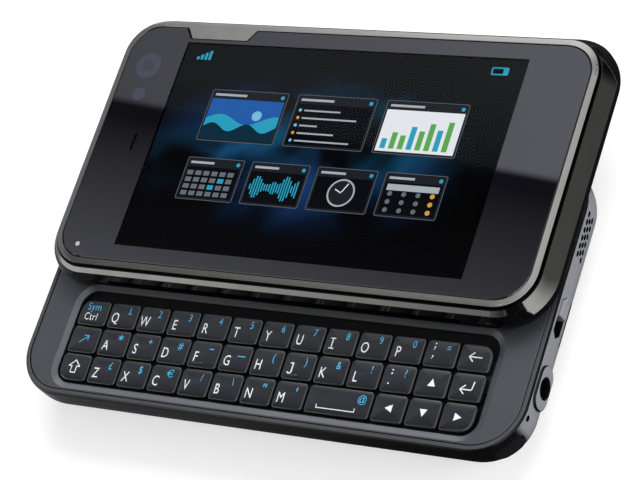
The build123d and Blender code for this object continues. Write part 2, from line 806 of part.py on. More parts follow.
with BuildPart() as main_board:
    with BuildSketch(base_plane(board_floor)):
        with Locations((0, board_y)):
            RectangleRounded(board_length, board_width, board_corner)
        with Locations((board_length / 2, jack_y)):
            notch = board_length / 2 - jack_tail_start + 2 * play
            Rectangle(2 * notch, jack_body_width + 4 * play, mode=Mode.SUBTRACT)
    extrude(amount=board_thickness)
    with BuildSketch(base_plane(board_floor + board_thickness)):
        with Locations((-board_length / 4, board_y), (board_length / 8, board_y)):
            Rectangle(shield_length, shield_width)
    extrude(amount=shield_height)
    # charging socket soldered to the edge, its mouth in the left end wall
    usb_start = base_end - 0.4
    with BuildSketch(end_plane(-1, usb_start - usb_depth, usb_y, usb_z)):
        RectangleRounded(usb_width, usb_height, 0.5)
    extrude(amount=usb_depth)
    with BuildSketch(end_plane(-1, usb_start, usb_y, usb_z)):
        Rectangle(usb_width - 2 * usb_wall, usb_height - 2 * usb_wall)
        with Locations((0, usb_tongue / 2)):
            Rectangle(usb_width - 4 * usb_wall, usb_tongue, mode=Mode.SUBTRACT)
    extrude(amount=-(usb_depth - 1), mode=Mode.SUBTRACT)
save(main_board, "main_board")

# ================================================================ keyboard half, case
with BuildPart() as lower_housing:
    add(hull.part)
    split(bisect_by=base_plane(seam), keep=Keep.TOP)
    # raised boss round the headset socket
    with BuildSketch(end_plane(1, base_end - 1, jack_y, jack_z)):
        RectangleRounded(boss_length, boss_height, boss_corner)
    extrude(amount=1 + boss_proud)
    fillet(lower_housing.faces().sort_by(Axis.X)[-1].edges(), boss_round)
    # seat of the deck, space of the mat and of the board
    with BuildSketch(base_plane(deck_seat)):
        RectangleRounded(deck_length + 2 * deck_gap, deck_width + 2 * deck_gap, deck_corner + deck_gap)
    extrude(amount=deck_thickness, mode=Mode.SUBTRACT)
    with BuildSketch(base_plane(mat_floor - play)):
        with Locations((0, opening_y)):
            RectangleRounded(mat_length + 2 * play, mat_width + 2 * play, field_opening_corner + play)
    extrude(amount=deck_seat - mat_floor + play, mode=Mode.SUBTRACT)
    with BuildSketch(base_plane(board_seat)):
        with Locations((0, board_y)):
            RectangleRounded(board_length + 2 * play, board_width + 2 * play, board_corner)
    extrude(amount=deck_seat - board_seat, mode=Mode.SUBTRACT)
    # spaces behind the end grilles
    for side in (-1, 1):
        speaker_space = right_end - board_length / 2
        with BuildSketch(base_plane(speaker_bottom, side * (right_end - speaker_space / 2), grille_y)):
            Rectangle(speaker_space, speaker_length + 2 * play)
        extrude(amount=deck_seat - speaker_bottom, mode=Mode.SUBTRACT)
        with BuildSketch(end_plane(side, base_end, grille_y, grille_z)):
            with Locations(*grille_places):
                SlotOverall(grille_hole_length, grille_hole_width)
        extrude(amount=-speaker_wall - play, mode=Mode.SUBTRACT)
    # headset socket and microphone hole
    jack_pocket_length = jack_block_end - jack_tail_start + 2 * play
    jack_pocket_x = (jack_block_end + jack_tail_start) / 2
    with BuildSketch(base_plane(jack_body_bottom - play, jack_pocket_x, jack_y)):
        Rectangle(jack_pocket_length, jack_body_width + 2 * play)
    extrude(amount=deck_seat - jack_body_bottom + play, mode=Mode.SUBTRACT)
    with BuildSketch(end_plane(1, jack_block_end, jack_y, jack_z)):
        Circle(jack_nose_radius + running)
    extrude(amount=boss_face - jack_block_end, mode=Mode.SUBTRACT)
    with BuildSketch(end_plane(1, base_end - mic_depth, mic_y, mic_z)):
        Circle(mic_radius)
    extrude(amount=mic_depth, mode=Mode.SUBTRACT)
    # slot of the lock switch, pointed at both ends
    with BuildSketch(end_plane(1, base_end, lock_y, lock_z)):
        with BuildLine():
            Polyline(*lock_outline, close=True)
        make_face()
    extrude(amount=-lock_slot_depth, mode=Mode.SUBTRACT)
    # pockets of the keys in the long edge
    for name, centre_x, key_length in top_keys:
        with BuildSketch(back_edge_plane(centre_x, top_key_pocket, top_key_z)):
            RectangleRounded(key_length + 2 * play, top_key_height + 2 * play, top_key_corner + play)
        extrude(amount=base_edge - top_key_pocket, mode=Mode.SUBTRACT)
    # stylus silo
    with BuildSketch(end_plane(1, stylus_end - play, stylus_y, stylus_z)):
        Circle(stylus_radius + running)
    extrude(amount=base_end - stylus_end, mode=Mode.SUBTRACT)
    with BuildSketch(end_plane(1, stylus_head_start - play, stylus_y, stylus_z)):
        RectangleRounded(stylus_head_width + 2 * running, stylus_head_height + 2 * running, 1.2)
    extrude(amount=base_end - stylus_head_start, mode=Mode.SUBTRACT)
    # mouth of the charging socket
    with BuildSketch(end_plane(-1, base_end, usb_y, usb_z)):
        RectangleRounded(usb_width + 2 * play, usb_height + 2 * play, 0.6)
    extrude(amount=-(base_end - board_length / 2), mode=Mode.SUBTRACT)
    # underside: battery bay, lens pod, camera well, latches and screws
    with BuildSketch(base_plane(seam, battery_x, battery_y)):
        RectangleRounded(battery_length + 2 * well_wall, battery_width + 2 * well_wall, battery_corner)
    extrude(amount=battery_thickness + 2 * play, mode=Mode.SUBTRACT)
    with BuildSketch(base_plane(seam, pod_x, pod_y)):
        RectangleRounded(pod_length + 2 * pod_clearance, pod_width + 2 * pod_clearance, pod_corner)
    extrude(amount=pod_top_clear - seam, mode=Mode.SUBTRACT)
    with BuildSketch(base_plane(seam, shutter_x, pod_y)):
        Rectangle(camera_size + 2 * play, camera_size + 2 * play)
    extrude(amount=camera_top + play - seam, mode=Mode.SUBTRACT)
    with BuildSketch(base_plane(seam)):
        with Locations(*latch_places):
            Rectangle(latch_length + 4 * play, latch_depth + 4 * play)
    extrude(amount=cover_height + latch_height + play - seam, mode=Mode.SUBTRACT)
    with BuildSketch(base_plane(seam)):
        with Locations(*screw_places):
            Circle(screw_head_radius + running)
    extrude(amount=screw_head_height, mode=Mode.SUBTRACT)
    with BuildSketch(base_plane(seam)):
        with Locations(*screw_places):
            Circle(screw_radius + running / 2)
    extrude(amount=screw_head_height + screw_length + play, mode=Mode.SUBTRACT)
save(lower_housing, "lower_housing")
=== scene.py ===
"""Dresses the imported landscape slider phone: lacquer, satin metal, glass, keycaps with legends, a lit
screen, and a plain pale studio.

Lengths are written in millimetres and become metres where a mesh is made. The phone lies on its flat back:
X runs along it, Y is the way the screen half slides open, and Z is out of the screen.
"""

import json  # noqa: E402
import math  # noqa: E402

import bpy  # noqa: E402
import numpy as np  # noqa: E402
from mathutils import Matrix, Vector  # noqa: E402
from mathutils.geometry import tessellate_polygon  # noqa: E402


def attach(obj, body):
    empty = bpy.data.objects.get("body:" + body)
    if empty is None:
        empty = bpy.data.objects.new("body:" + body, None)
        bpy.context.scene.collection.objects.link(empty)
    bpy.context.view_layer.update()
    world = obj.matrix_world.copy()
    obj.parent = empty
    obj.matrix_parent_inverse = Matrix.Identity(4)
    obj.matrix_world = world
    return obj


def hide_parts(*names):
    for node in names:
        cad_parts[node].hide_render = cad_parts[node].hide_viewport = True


MM = 0.001
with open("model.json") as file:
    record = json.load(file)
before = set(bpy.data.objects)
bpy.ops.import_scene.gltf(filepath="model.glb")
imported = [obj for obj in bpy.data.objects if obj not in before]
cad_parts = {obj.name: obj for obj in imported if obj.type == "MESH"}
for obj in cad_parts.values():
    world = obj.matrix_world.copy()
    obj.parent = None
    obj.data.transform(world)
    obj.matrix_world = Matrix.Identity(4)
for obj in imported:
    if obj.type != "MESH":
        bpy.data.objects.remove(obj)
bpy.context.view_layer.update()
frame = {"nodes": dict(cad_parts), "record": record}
NODES = frame["nodes"]

# ---------------------------------------------------------------- sizes in millimetres that the solids share

OPEN_Y = 23.2
GLASS_TOP = 18.0
GLASS_BOTTOM = 17.1
GLASS_HALF_X, GLASS_HALF_Y, GLASS_CORNER = 51.2, 26.2, 6.3
LCD_HALF_X, LCD_HALF_Y = 38.1, 22.86
KEY_PITCH_X, KEY_PITCH_Y = 6.99, 5.87
KEY_GAP = 0.38
FIELD_CENTRE_Y = -17.495
KEY_CORNER, FIELD_CORNER = 0.8, 2.6
KEY_COLUMNS = 13

# ---------------------------------------------------------------- mesh tools


def rounded_outline(half_x, half_y, radii, steps):
    """Closed outline, anticlockwise from the +X +Y corner. Each corner is a quarter turn of its own radius
    about a centre that lies one radius in from both sides."""
    radius = np.broadcast_to(np.asarray(radii, float).reshape(-1, 1), (4, 1))
    turn = np.linspace(0, math.pi / 2, steps)[None, :] + np.arange(4)[:, None] * math.pi / 2
    side_x = np.array([1, -1, -1, 1])[:, None]
    side_y = np.array([1, 1, -1, -1])[:, None]
    x = side_x * (half_x - radius) + radius * np.cos(turn)
    y = side_y * (half_y - radius) + radius * np.sin(turn)
    return np.stack([x.ravel(), y.ravel()], axis=1)


def ring_outline(radius, steps):
    """Circle: the radius times the cosine and sine of a full turn in equal steps."""
    turn = np.arange(steps) * 2 * math.pi / steps
    return radius * np.stack([np.cos(turn), np.sin(turn)], axis=1)


def at_height(outline, height):
    """The flat outline lifted to one height."""
    return np.column_stack([outline, np.full(len(outline), float(height))])


def loft_faces(rings, around):
    """Quads between neighbouring rings of the same count, each ring closed on itself."""
    row = np.arange(rings - 1)[:, None] * around
    here = np.arange(around)[None, :]
    ahead = (here + 1) % around
    quads = np.stack([row + here, row + ahead, row + around + ahead, row + around + here], axis=-1)
    return quads.reshape(-1, 4).tolist()


def dome_mesh(rings):
    """Points and faces of a stack of rings closed by one point at the middle of the last ring."""
    rings = np.asarray(rings)
    count, around = rings.shape[:2]
    points = np.vstack([rings.reshape(-1, 3), rings[-1].mean(axis=0)])
    last = (count - 1) * around
    here = np.arange(around)
    fan = np.stack([last + here, last + (here + 1) % around, np.full(around, count * around)], axis=1)
    return points, loft_faces(count, around) + fan.tolist()


def add_to_scene(name, data):
    """A new object in the scene."""
    made = bpy.data.objects.new(name, data)
    bpy.context.scene.collection.objects.link(made)
    return made


def new_piece(name, points, faces, materials, body, face_material=None, smooth=True):
    """A mesh piece from points in millimetres, riding on a body, with the finish slot it belongs to."""
    mesh = bpy.data.meshes.new(name)
    mesh.from_pydata((np.asarray(points, float) * MM).tolist(), [], faces)
    for material in materials:
        mesh.materials.append(material)
    if face_material is not None:
        mesh.polygons.foreach_set("material_index", np.asarray(face_material, np.int32))
    mesh.polygons.foreach_set("use_smooth", np.full(len(mesh.polygons), smooth))
    mesh.validate()
    mesh.update()
    piece = add_to_scene(name, mesh)
    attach(piece, body)
    return piece


def joined(parts):
    """Points, faces and a material number per face of several (points, faces, number) parts put together."""
    points = np.vstack([np.asarray(part[0], float) for part in parts])
    starts = np.cumsum([0] + [len(part[0]) for part in parts[:-1]])
    faces = [[int(i + start) for i in face] for part, start in zip(parts, starts) for face in part[1]]
    numbers = np.concatenate([np.full(len(part[1]), part[2]) for part in parts])
    return points, faces, numbers


# ---------------------------------------------------------------- node tools

FLOAT, VECTOR = "NodeSocketFloat", "NodeSocketVector"


def put(tree, kind, inputs=None, **settings):
    """A node with its settings and its input values, or links where a value is a socket."""
    made = tree.nodes.new(kind)
    for key, value in settings.items():
        setattr(made, key, value)
    for key, value in (inputs or {}).items():
        if isinstance(value, bpy.types.NodeSocket):
            tree.links.new(value, made.inputs[key])
        else:
            made.inputs[key].default_value = value
    return made


def maths(tree, operation, first, second=0.0):
    """One sum of numbers."""
    return put(tree, "ShaderNodeMath", {0: first, 1: second}, operation=operation).outputs[0]


def product(tree, first, *others):
    """All the values multiplied together."""
    for other in others:
        first = maths(tree, "MULTIPLY", first, other)
    return first


def rest_of(tree, share):
    """One minus a share."""
    return maths(tree, "SUBTRACT", 1.0, share)


def vectors(tree, operation, first, second=(0.0, 0.0, 0.0)):
    """A sum of vectors. A length or a dot product comes out as a number."""
    made = put(tree, "ShaderNodeVectorMath", {0: first, 1: second}, operation=operation)
    return made.outputs["Value" if operation in ("LENGTH", "DOT_PRODUCT") else "Vector"]


def axis_value(tree, vector, axis):
    """A vector's X, Y or Z, for axis 0, 1 or 2."""
    return put(tree, "ShaderNodeSeparateXYZ", {0: vector}).outputs[axis]


def blend_colours(tree, factor, first, second, mode="MIX"):
    """The second colour laid over the first by a factor."""
    values = {0: factor, 6: first, 7: second}
    return put(tree, "ShaderNodeMix", values, data_type="RGBA", blend_type=mode).outputs[2]


def shaded(tree, colour, shade):
    """A colour times a shade, a number about one."""
    neutral = put(tree, "ShaderNodeCombineColor", {0: shade, 1: shade, 2: shade}).outputs[0]
    return blend_colours(tree, 1.0, colour, neutral, "MULTIPLY")


def spread(tree, value, low, high, to_low=0.0, to_high=1.0, kind="SMOOTHSTEP"):
    """The value mapped from one range to another, held at its ends."""
    inputs = {0: value, 1: low, 2: high, 3: to_low, 4: to_high}
    return put(tree, "ShaderNodeMapRange", inputs, interpolation_type=kind).outputs[0]


def give(tree, socket, target):
    tree.links.new(socket, target)


def set_shader(shader, **values):
    """The shader's own sockets set by name, with _ for a space."""
    for key, value in values.items():
        shader.inputs[key.replace("_", " ")].default_value = value


def new_group(name, inputs, outputs):
    """An empty shader group with named sockets: each is (name, socket type, default or None)."""
    group = bpy.data.node_groups.new(name, "ShaderNodeTree")
    for label, kind, default in inputs:
        socket = group.interface.new_socket(name=label, in_out="INPUT", socket_type=kind)
        if default is not None:
            socket.default_value = default
    for label, kind in outputs:
        group.interface.new_socket(name=label, in_out="OUTPUT", socket_type=kind)
    return group, group.nodes.new("NodeGroupInput").outputs, group.nodes.new("NodeGroupOutput").inputs


def use_group(tree, group, **inputs):
    """A group placed in a tree, its inputs given by name, with _ for a space."""
    values = {key.replace("_", " "): value for key, value in inputs.items()}
    return put(tree, "ShaderNodeGroup", values, node_tree=group).outputs


def rgb(red, green, blue):
    """Linear colour of a screen colour written in 0 to 255."""
    value = np.array([red, green, blue], float) / 255
    linear = np.where(value <= 0.04045, value / 12.92, ((value + 0.055) / 1.055) ** 2.4)
    return (*linear.tolist(), 1.0)


# ---------------------------------------------------------------- effects that several finishes share


def about_one(tree, value, swing):
    """A noise value about a half turned into a shade about one: one plus its departure times the swing."""
    departure = maths(tree, "SUBTRACT", value, 0.5)
    return maths(tree, "ADD", product(tree, departure, swing), 1.0)


def moulded_grain_group():
    """Fine spark-eroded grain of moulded plastic: small noise for height, wide noise for shade."""
    cloud_scale = 90.0
    group, given, wanted = new_group(
        "moulded_grain",
        [("Vector", VECTOR, None), ("Scale", FLOAT, 4000.0), ("Unevenness", FLOAT, 0.15)],
        [("Height", FLOAT), ("Shade", FLOAT)],
    )
    fine = {"Vector": given["Vector"], "Scale": given["Scale"], "Detail": 2.0}
    wide = {"Vector": given["Vector"], "Scale": cloud_scale, "Detail": 3.0}
    grain = put(group, "ShaderNodeTexNoise", fine).outputs[0]
    clouds = put(group, "ShaderNodeTexNoise", wide).outputs[0]
    give(group, grain, wanted["Height"])
    give(group, about_one(group, clouds, given["Unevenness"]), wanted["Shade"])
    return group


def handling_group():
    """Roughness left by handling: faint finger smudges over a base value, with sparse fine dust."""
    smudge_edge, dusty_edge = (0.42, 0.68), (0.5, 0.6)
    speck_scale, speck_edge = 900.0, (0.06, 0.02)
    group, given, wanted = new_group(
        "handling_marks",
        [("Vector", VECTOR, None), ("Clean", FLOAT, 0.1), ("Smudged", FLOAT, 0.2), ("Size", FLOAT, 110.0)],
        [("Roughness", FLOAT), ("Dust", FLOAT)],
    )
    smears = {"Vector": given["Vector"], "Scale": given["Size"], "Detail": 4.0, "Distortion": 0.8}
    smudge = put(group, "ShaderNodeTexNoise", smears).outputs[0]
    reach = maths(group, "SUBTRACT", given["Smudged"], given["Clean"])
    rough = maths(group, "ADD", product(group, spread(group, smudge, *smudge_edge), reach), given["Clean"])
    scattered = {"Vector": given["Vector"], "Scale": speck_scale}
    specks = put(group, "ShaderNodeTexVoronoi", scattered, feature="F1").outputs["Distance"]
    dust = spread(group, specks, *speck_edge)
    give(group, rough, wanted["Roughness"])
    give(group, product(group, dust, spread(group, smudge, *dusty_edge)), wanted["Dust"])
    return group


def brushed_group():
    """Hairlines of drawn or brushed metal: noise stretched along X, for height and shade."""
    along_line, across_line = 60.0, 5200.0
    group, given, wanted = new_group(
        "brushed_metal",
        [("Vector", VECTOR, None), ("Shade Swing", FLOAT, 0.2)],
        [("Height", FLOAT), ("Shade", FLOAT)],
    )
    scale = (along_line, across_line, across_line)
    stretched = put(group, "ShaderNodeMapping", {"Vector": given["Vector"], "Scale": scale}).outputs[0]
    lines = put(group, "ShaderNodeTexNoise", {"Vector": stretched, "Scale": 1.0, "Detail": 3.0}).outputs[0]
    give(group, lines, wanted["Height"])
    give(group, about_one(group, lines, given["Shade Swing"]), wanted["Shade"])
    return group


GRAIN = moulded_grain_group()
HANDLING = handling_group()
BRUSHED = brushed_group()


def started_material(name):
    """A node material: its tree, its Principled shader and a socket with object coordinates."""
    material = bpy.data.materials.new(name)
    material.use_nodes = True
    tree = material.node_tree
    coordinates = put(tree, "ShaderNodeTexCoord").outputs["Object"]
    return material, tree, tree.nodes["Principled BSDF"], coordinates


def coloured(tree, shader, colour, shade):
    """The shader's colour, uneven by a shade."""
    give(tree, shaded(tree, colour, shade), shader.inputs["Base Color"])


def roughened(tree, shader, rough):
    give(tree, rough, shader.inputs["Roughness"])


def bumped(tree, shader, height, distance, strength=0.6, normal=None):
    """The height feeds a Bump node into the shader's normal, over another normal if one is given.
    Distance is in millimetres."""
    inputs = {"Height": height, "Strength": strength, "Distance": distance * MM}
    if normal is not None:
        inputs["Normal"] = normal
    give(tree, put(tree, "ShaderNodeBump", inputs).outputs["Normal"], shader.inputs["Normal"])


# ---------------------------------------------------------------- plain finishes

DUST_COLOUR, DUST_COVER = rgb(150, 148, 142), 0.12
HAIRLINE_DEPTH, HAIRLINE_SWING = 0.0015, 0.25


def moulded_plastic(name, colour, clean, smudged, grain=4000.0, depth=0.004, ior=1.5, metal=0.0):
    """Moulded plastic with grain, faint smudges and specks of dust. Metal is the paint's share of flake."""
    material, tree, shader, place = started_material(name)
    grained = use_group(tree, GRAIN, Vector=place, Scale=grain, Unevenness=0.2)
    marks = use_group(tree, HANDLING, Vector=place, Clean=clean, Smudged=smudged)
    dust = product(tree, marks["Dust"], DUST_COVER)
    dusted = blend_colours(tree, dust, shaded(tree, colour, grained["Shade"]), DUST_COLOUR)
    give(tree, dusted, shader.inputs["Base Color"])
    roughened(tree, shader, marks["Roughness"])
    bumped(tree, shader, grained["Height"], depth)
    set_shader(shader, IOR=ior, Metallic=metal)
    return material


def brushed_metal(name, colour, clean, smudged):
    """Metal with hairlines along X and faint handling."""
    material, tree, shader, place = started_material(name)
    lines = use_group(tree, BRUSHED, Vector=place, Shade_Swing=HAIRLINE_SWING)
    marks = use_group(tree, HANDLING, Vector=place, Clean=clean, Smudged=smudged)
    coloured(tree, shader, colour, lines["Shade"])
    roughened(tree, shader, marks["Roughness"])
    bumped(tree, shader, lines["Height"], HAIRLINE_DEPTH)
    set_shader(shader, Metallic=1.0)
    return material


def lock_switch_plastic():
    """Lock: light grey on its knob, black on the plate that runs behind the wall."""
    knob_foot = 53.6
    material, tree, shader, place = started_material("lock_switch")
    knob = maths(tree, "GREATER_THAN", axis_value(tree, place, 0), knob_foot * MM)
    grained = use_group(tree, GRAIN, Vector=place, Scale=5000.0, Unevenness=0.15)
    marks = use_group(tree, HANDLING, Vector=place, Clean=0.26, Smudged=0.34)
    colour = blend_colours(tree, knob, rgb(10, 10, 11), rgb(132, 133, 138))
    coloured(tree, shader, colour, grained["Shade"])
    roughened(tree, shader, marks["Roughness"])
    bumped(tree, shader, grained["Height"], 0.002)
    return material


def window_glass():
    """Clear window with an antireflection coat and faint finger smudges."""
    material, tree, shader, place = started_material("window_glass")
    marks = use_group(tree, HANDLING, Vector=place, Clean=0.0, Smudged=0.008, Size=60.0)
    roughened(tree, shader, marks["Roughness"])
    set_shader(shader, Base_Color=rgb(252, 252, 255), Transmission_Weight=1.0, IOR=1.17)
    return material


def window_print(name, colour):
    """High-gloss print of the window's border."""
    material, tree, shader, place = started_material(name)
    marks = use_group(tree, HANDLING, Vector=place, Clean=0.0, Smudged=0.02, Size=60.0)
    grained = use_group(tree, GRAIN, Vector=place, Scale=900.0, Unevenness=0.3)
    coloured(tree, shader, colour, grained["Shade"])
    roughened(tree, shader, marks["Roughness"])
    set_shader(shader, IOR=1.9)
    return material


def printed_legend(name, colour):
    """Printed ink: a little uneven in cover, with a soft sheen."""
    material, tree, shader, place = started_material(name)
    grained = use_group(tree, GRAIN, Vector=place, Scale=6000.0, Unevenness=0.2)
    coloured(tree, shader, colour, grained["Shade"])
    bumped(tree, shader, grained["Height"], 0.001)
    set_shader(shader, Roughness=0.5)
    return material


# ---------------------------------------------------------------- screen half's case

# Heights on the bevel: the widest line at its foot, the lower edge of the metal band, and its top.
WIDEST_LINE, BAND_FOOT, BEVEL_TOP = 14.5, 16.38, 17.1
EDGE_BELOW, EDGE_ABOVE = 0.03, 0.05
# The shading normal's rise, the sine of its lean: on the end's facet, the bevel's upper part and the wall.
END_RISE, BAND_RISE, WALL_RISE = 0.646, 0.777, 0.28
# Where the metal of the painted reflection stops round the corners, as shares of the heading to the right or
# to the back.
FRONT_CUT, BACK_CUT, CUT_SOFTNESS = (0.7, 0.73), (0.1, 0.62), 0.02
BAND_RIGHT_END, BAND_BACK_END = (0.4, 0.28), (0.9, 0.8)
# The bevel's metal colour stands in for a reflection on the black lacquer: a painted reflection.
LACQUER, BEVEL_METAL_AS_PAINTED_REFLECTION, BEVEL_METAL_ROUGH = rgb(9, 9, 10), rgb(124, 124, 122), 0.12


def horizontal_heading(tree):
    """The way the surface looks round about: its normal without its height, at unit length."""
    normal = put(tree, "ShaderNodeTexCoord").outputs["Normal"]
    return vectors(tree, "NORMALIZE", vectors(tree, "MULTIPLY", normal, (1.0, 1.0, 0.0)))


def leaning_normal(tree, around, rise, share):
    """A normal that leans up from its heading by a rise, mixed over the real one by a share. Its level part
    is the root of one minus the rise squared."""
    flat = maths(tree, "SQRT", rest_of(tree, product(tree, rise, rise)))
    level = put(tree, "ShaderNodeVectorMath", {0: around, "Scale": flat}, operation="SCALE").outputs[0]
    lean = vectors(tree, "ADD", level, put(tree, "ShaderNodeCombineXYZ", {2: rise}).outputs[0])
    kinds = {"vector_type": "NORMAL", "convert_from": "OBJECT", "convert_to": "WORLD"}
    lean = put(tree, "ShaderNodeVectorTransform", {0: lean}, **kinds).outputs[0]
    real = put(tree, "ShaderNodeNewGeometry").outputs["Normal"]
    mixed = put(tree, "ShaderNodeMix", {0: share, 4: real, 5: lean}, data_type="VECTOR").outputs[1]
    return vectors(tree, "NORMALIZE", mixed)


def bevel_masks(tree, height, around):
    """Shares of the bevel that are the right end's facet, the upper part beyond it, and the metal band on
    that part. The facet is cut off upright before the front corner and slantwise before the back one."""
    rightward, backward = axis_value(tree, around, 0), axis_value(tree, around, 1)
    slant = spread(tree, height, WIDEST_LINE, BEVEL_TOP, *BACK_CUT, "LINEAR")
    before_slant = spread(tree, maths(tree, "SUBTRACT", slant, backward), -CUT_SOFTNESS, CUT_SOFTNESS)
    above_line = spread(tree, height, WIDEST_LINE - EDGE_BELOW, WIDEST_LINE + EDGE_ABOVE)
    above_foot = spread(tree, height, BAND_FOOT - EDGE_BELOW, BAND_FOOT + EDGE_ABOVE)
    end = product(tree, before_slant, spread(tree, rightward, *FRONT_CUT), above_line)
    upper = product(tree, rest_of(tree, end), above_foot)
    # The band fades out to the right and to the back, like the reflection that it paints.
    ends = product(tree, spread(tree, rightward, *BAND_RIGHT_END), spread(tree, backward, *BAND_BACK_END))
    return end, upper, product(tree, ends, upper)


def screen_case_lacquer():
    """Screen half case: black lacquer with metal on its bevel, laid where the lacquer shows a softbox
    reflection, so the metal is partly a painted reflection, though it also mirrors the lights. At the right
    end the metal covers the bevel from the widest line up, as one flat facet. Elsewhere it is a band along
    the bevel's top, over a steeper wall."""
    material, tree, shader, place = started_material("screen_case_lacquer")
    height = maths(tree, "DIVIDE", axis_value(tree, place, 2), MM)
    around = horizontal_heading(tree)
    end, upper, band = bevel_masks(tree, height, around)
    below_top = spread(tree, height, BEVEL_TOP - 0.02, BEVEL_TOP - 0.06)
    # Metal share: painted reflection on the bevel, black lacquer elsewhere.
    metal = product(tree, maths(tree, "MAXIMUM", end, band), below_top)
    marks = use_group(tree, HANDLING, Vector=place, Clean=0.06, Smudged=0.12)
    grained = use_group(tree, GRAIN, Vector=place, Scale=2500.0, Unevenness=0.2)
    colour = blend_colours(tree, metal, LACQUER, BEVEL_METAL_AS_PAINTED_REFLECTION)
    coloured(tree, shader, colour, grained["Shade"])
    give(tree, metal, shader.inputs["Metallic"])
    roughened(tree, shader, maths(tree, "ADD", product(tree, metal, BEVEL_METAL_ROUGH), marks["Roughness"]))
    rise = maths(tree, "ADD", product(tree, end, END_RISE - WALL_RISE), WALL_RISE)
    rise = maths(tree, "ADD", rise, product(tree, upper, BAND_RISE - WALL_RISE))
    leaning = product(tree, spread(tree, height, WIDEST_LINE - 0.3, WIDEST_LINE), below_top)
    normal = leaning_normal(tree, around, rise, leaning)
    bumped(tree, shader, grained["Height"], 0.0015, 1.0, normal)
    set_shader(shader, IOR=1.27)
    return material


# ---------------------------------------------------------------- keyboard half's case

LOCK_Y, LOCK_HALF_Y, LOCK_FLOOR_X, LOCK_BACK_X = -1.2, 4.4, 54.45, 52.9
# The rim's top is painted grey: a painted highlight along the rim.
RIM_TOP, RIM_FOOT, RIM_SOFTNESS = 11.37, 10.98, 0.03
# The ends' grey, below the rim and fading out towards the front, is painted side light; their satin
# roughness is real.
SATIN_FRONT, SATIN_FADE, SATIN_ROUGH = -24.6, 1.8, 0.26
GLOSS_BLACK, PAINTED_SIDE_LIGHT_GREY, PAINTED_RIM_HIGHLIGHT = rgb(12, 12, 14), rgb(126, 127, 133), rgb(70, 71, 74)


def inside_lock_slot(tree, place):
    """One on the floor and walls of the lock's slot, nothing elsewhere. The slot stays black: painted shade
    in the recess.
    """
    along, across = axis_value(tree, place, 0), axis_value(tree, place, 1)
    beside = maths(tree, "ABSOLUTE", maths(tree, "SUBTRACT", across, LOCK_Y * MM))
    sunk = maths(tree, "LESS_THAN", along, LOCK_FLOOR_X * MM)
    before_back = maths(tree, "GREATER_THAN", along, LOCK_BACK_X * MM)
    return product(tree, sunk, maths(tree, "LESS_THAN", beside, LOCK_HALF_Y * MM), before_back)


def satin_ends_with_painted_light(tree, place):
    """The share of the ends' satin finish, whose grey is painted side light: where the wall faces an end,
    below the rim, outside the lock's slot, and not round the front corners."""
    facing = maths(tree, "ABSOLUTE", axis_value(tree, put(tree, "ShaderNodeTexCoord").outputs["Normal"], 0))
    height, across = axis_value(tree, place, 2), axis_value(tree, place, 1)
    below_rim = spread(tree, height, (RIM_FOOT + RIM_SOFTNESS) * MM, (RIM_FOOT - RIM_SOFTNESS) * MM)
    behind_front = spread(tree, across, SATIN_FRONT * MM, (SATIN_FRONT + SATIN_FADE) * MM)
    # The slot is kept out of the painted side light, black as painted shade.
    outside_slot = rest_of(tree, inside_lock_slot(tree, place))
    return product(tree, spread(tree, facing, 0.72, 0.93), outside_slot, below_rim, behind_front)


def keyboard_case_lacquer():
    """Keyboard half case: gloss black along its front and back, satin at its ends in a grey that is painted
    side light, black in the lock's slot as painted shade, black on the rounded edge of the rim, and a
    painted highlight in grey on the rim's narrow top."""
    material, tree, shader, place = started_material("keyboard_case_lacquer")
    end = satin_ends_with_painted_light(tree, place)
    # The rim's narrow top, where the grey painted highlight goes.
    rim = spread(tree, axis_value(tree, place, 2), (RIM_TOP - 0.02) * MM, (RIM_TOP + 0.02) * MM)
    marks = use_group(tree, HANDLING, Vector=place, Clean=0.14, Smudged=0.22)
    grained = use_group(tree, GRAIN, Vector=place, Scale=5000.0, Unevenness=0.2)
    # Painted light: grey on the ends for side light, and a grey painted highlight on the rim's top.
    colour = blend_colours(tree, rim, blend_colours(tree, end, GLOSS_BLACK, PAINTED_SIDE_LIGHT_GREY), PAINTED_RIM_HIGHLIGHT)
    coloured(tree, shader, colour, grained["Shade"])
    roughened(tree, shader, maths(tree, "ADD", product(tree, end, SATIN_ROUGH), marks["Roughness"]))
    bumped(tree, shader, grained["Height"], 0.003)
    set_shader(shader, IOR=1.42)
    return material


# ---------------------------------------------------------------- ring round the window

RING_INNER_X, RING_INNER_Y, RING_CORNER = 51.35, 26.35, 6.45
# Below RING_FOOT the ring's outer wall is painted black: painted shade.
RING_FALL, RING_FOOT, RING_LINES = 0.2, 17.78, 0.0006


def outside_distance(tree, place, half_x, half_y, corner):
    """How far a point lies outside a rounded rectangle about the screen's middle, in millimetres: the length
    of what its distances along X and Y have over the corners' centres, less the corner radius."""
    centre = (0.0, -OPEN_Y * MM, 0.0)
    centred = put(tree, "ShaderNodeMapping", {"Vector": place, "Location": centre}).outputs[0]
    mirrored = vectors(tree, "ABSOLUTE", vectors(tree, "MULTIPLY", centred, (1 / MM, 1 / MM, 0.0)))
    over = vectors(tree, "SUBTRACT", mirrored, (half_x - corner, half_y - corner, 0.0))
    length = vectors(tree, "LENGTH", vectors(tree, "MAXIMUM", over))
    return maths(tree, "SUBTRACT", length, corner)


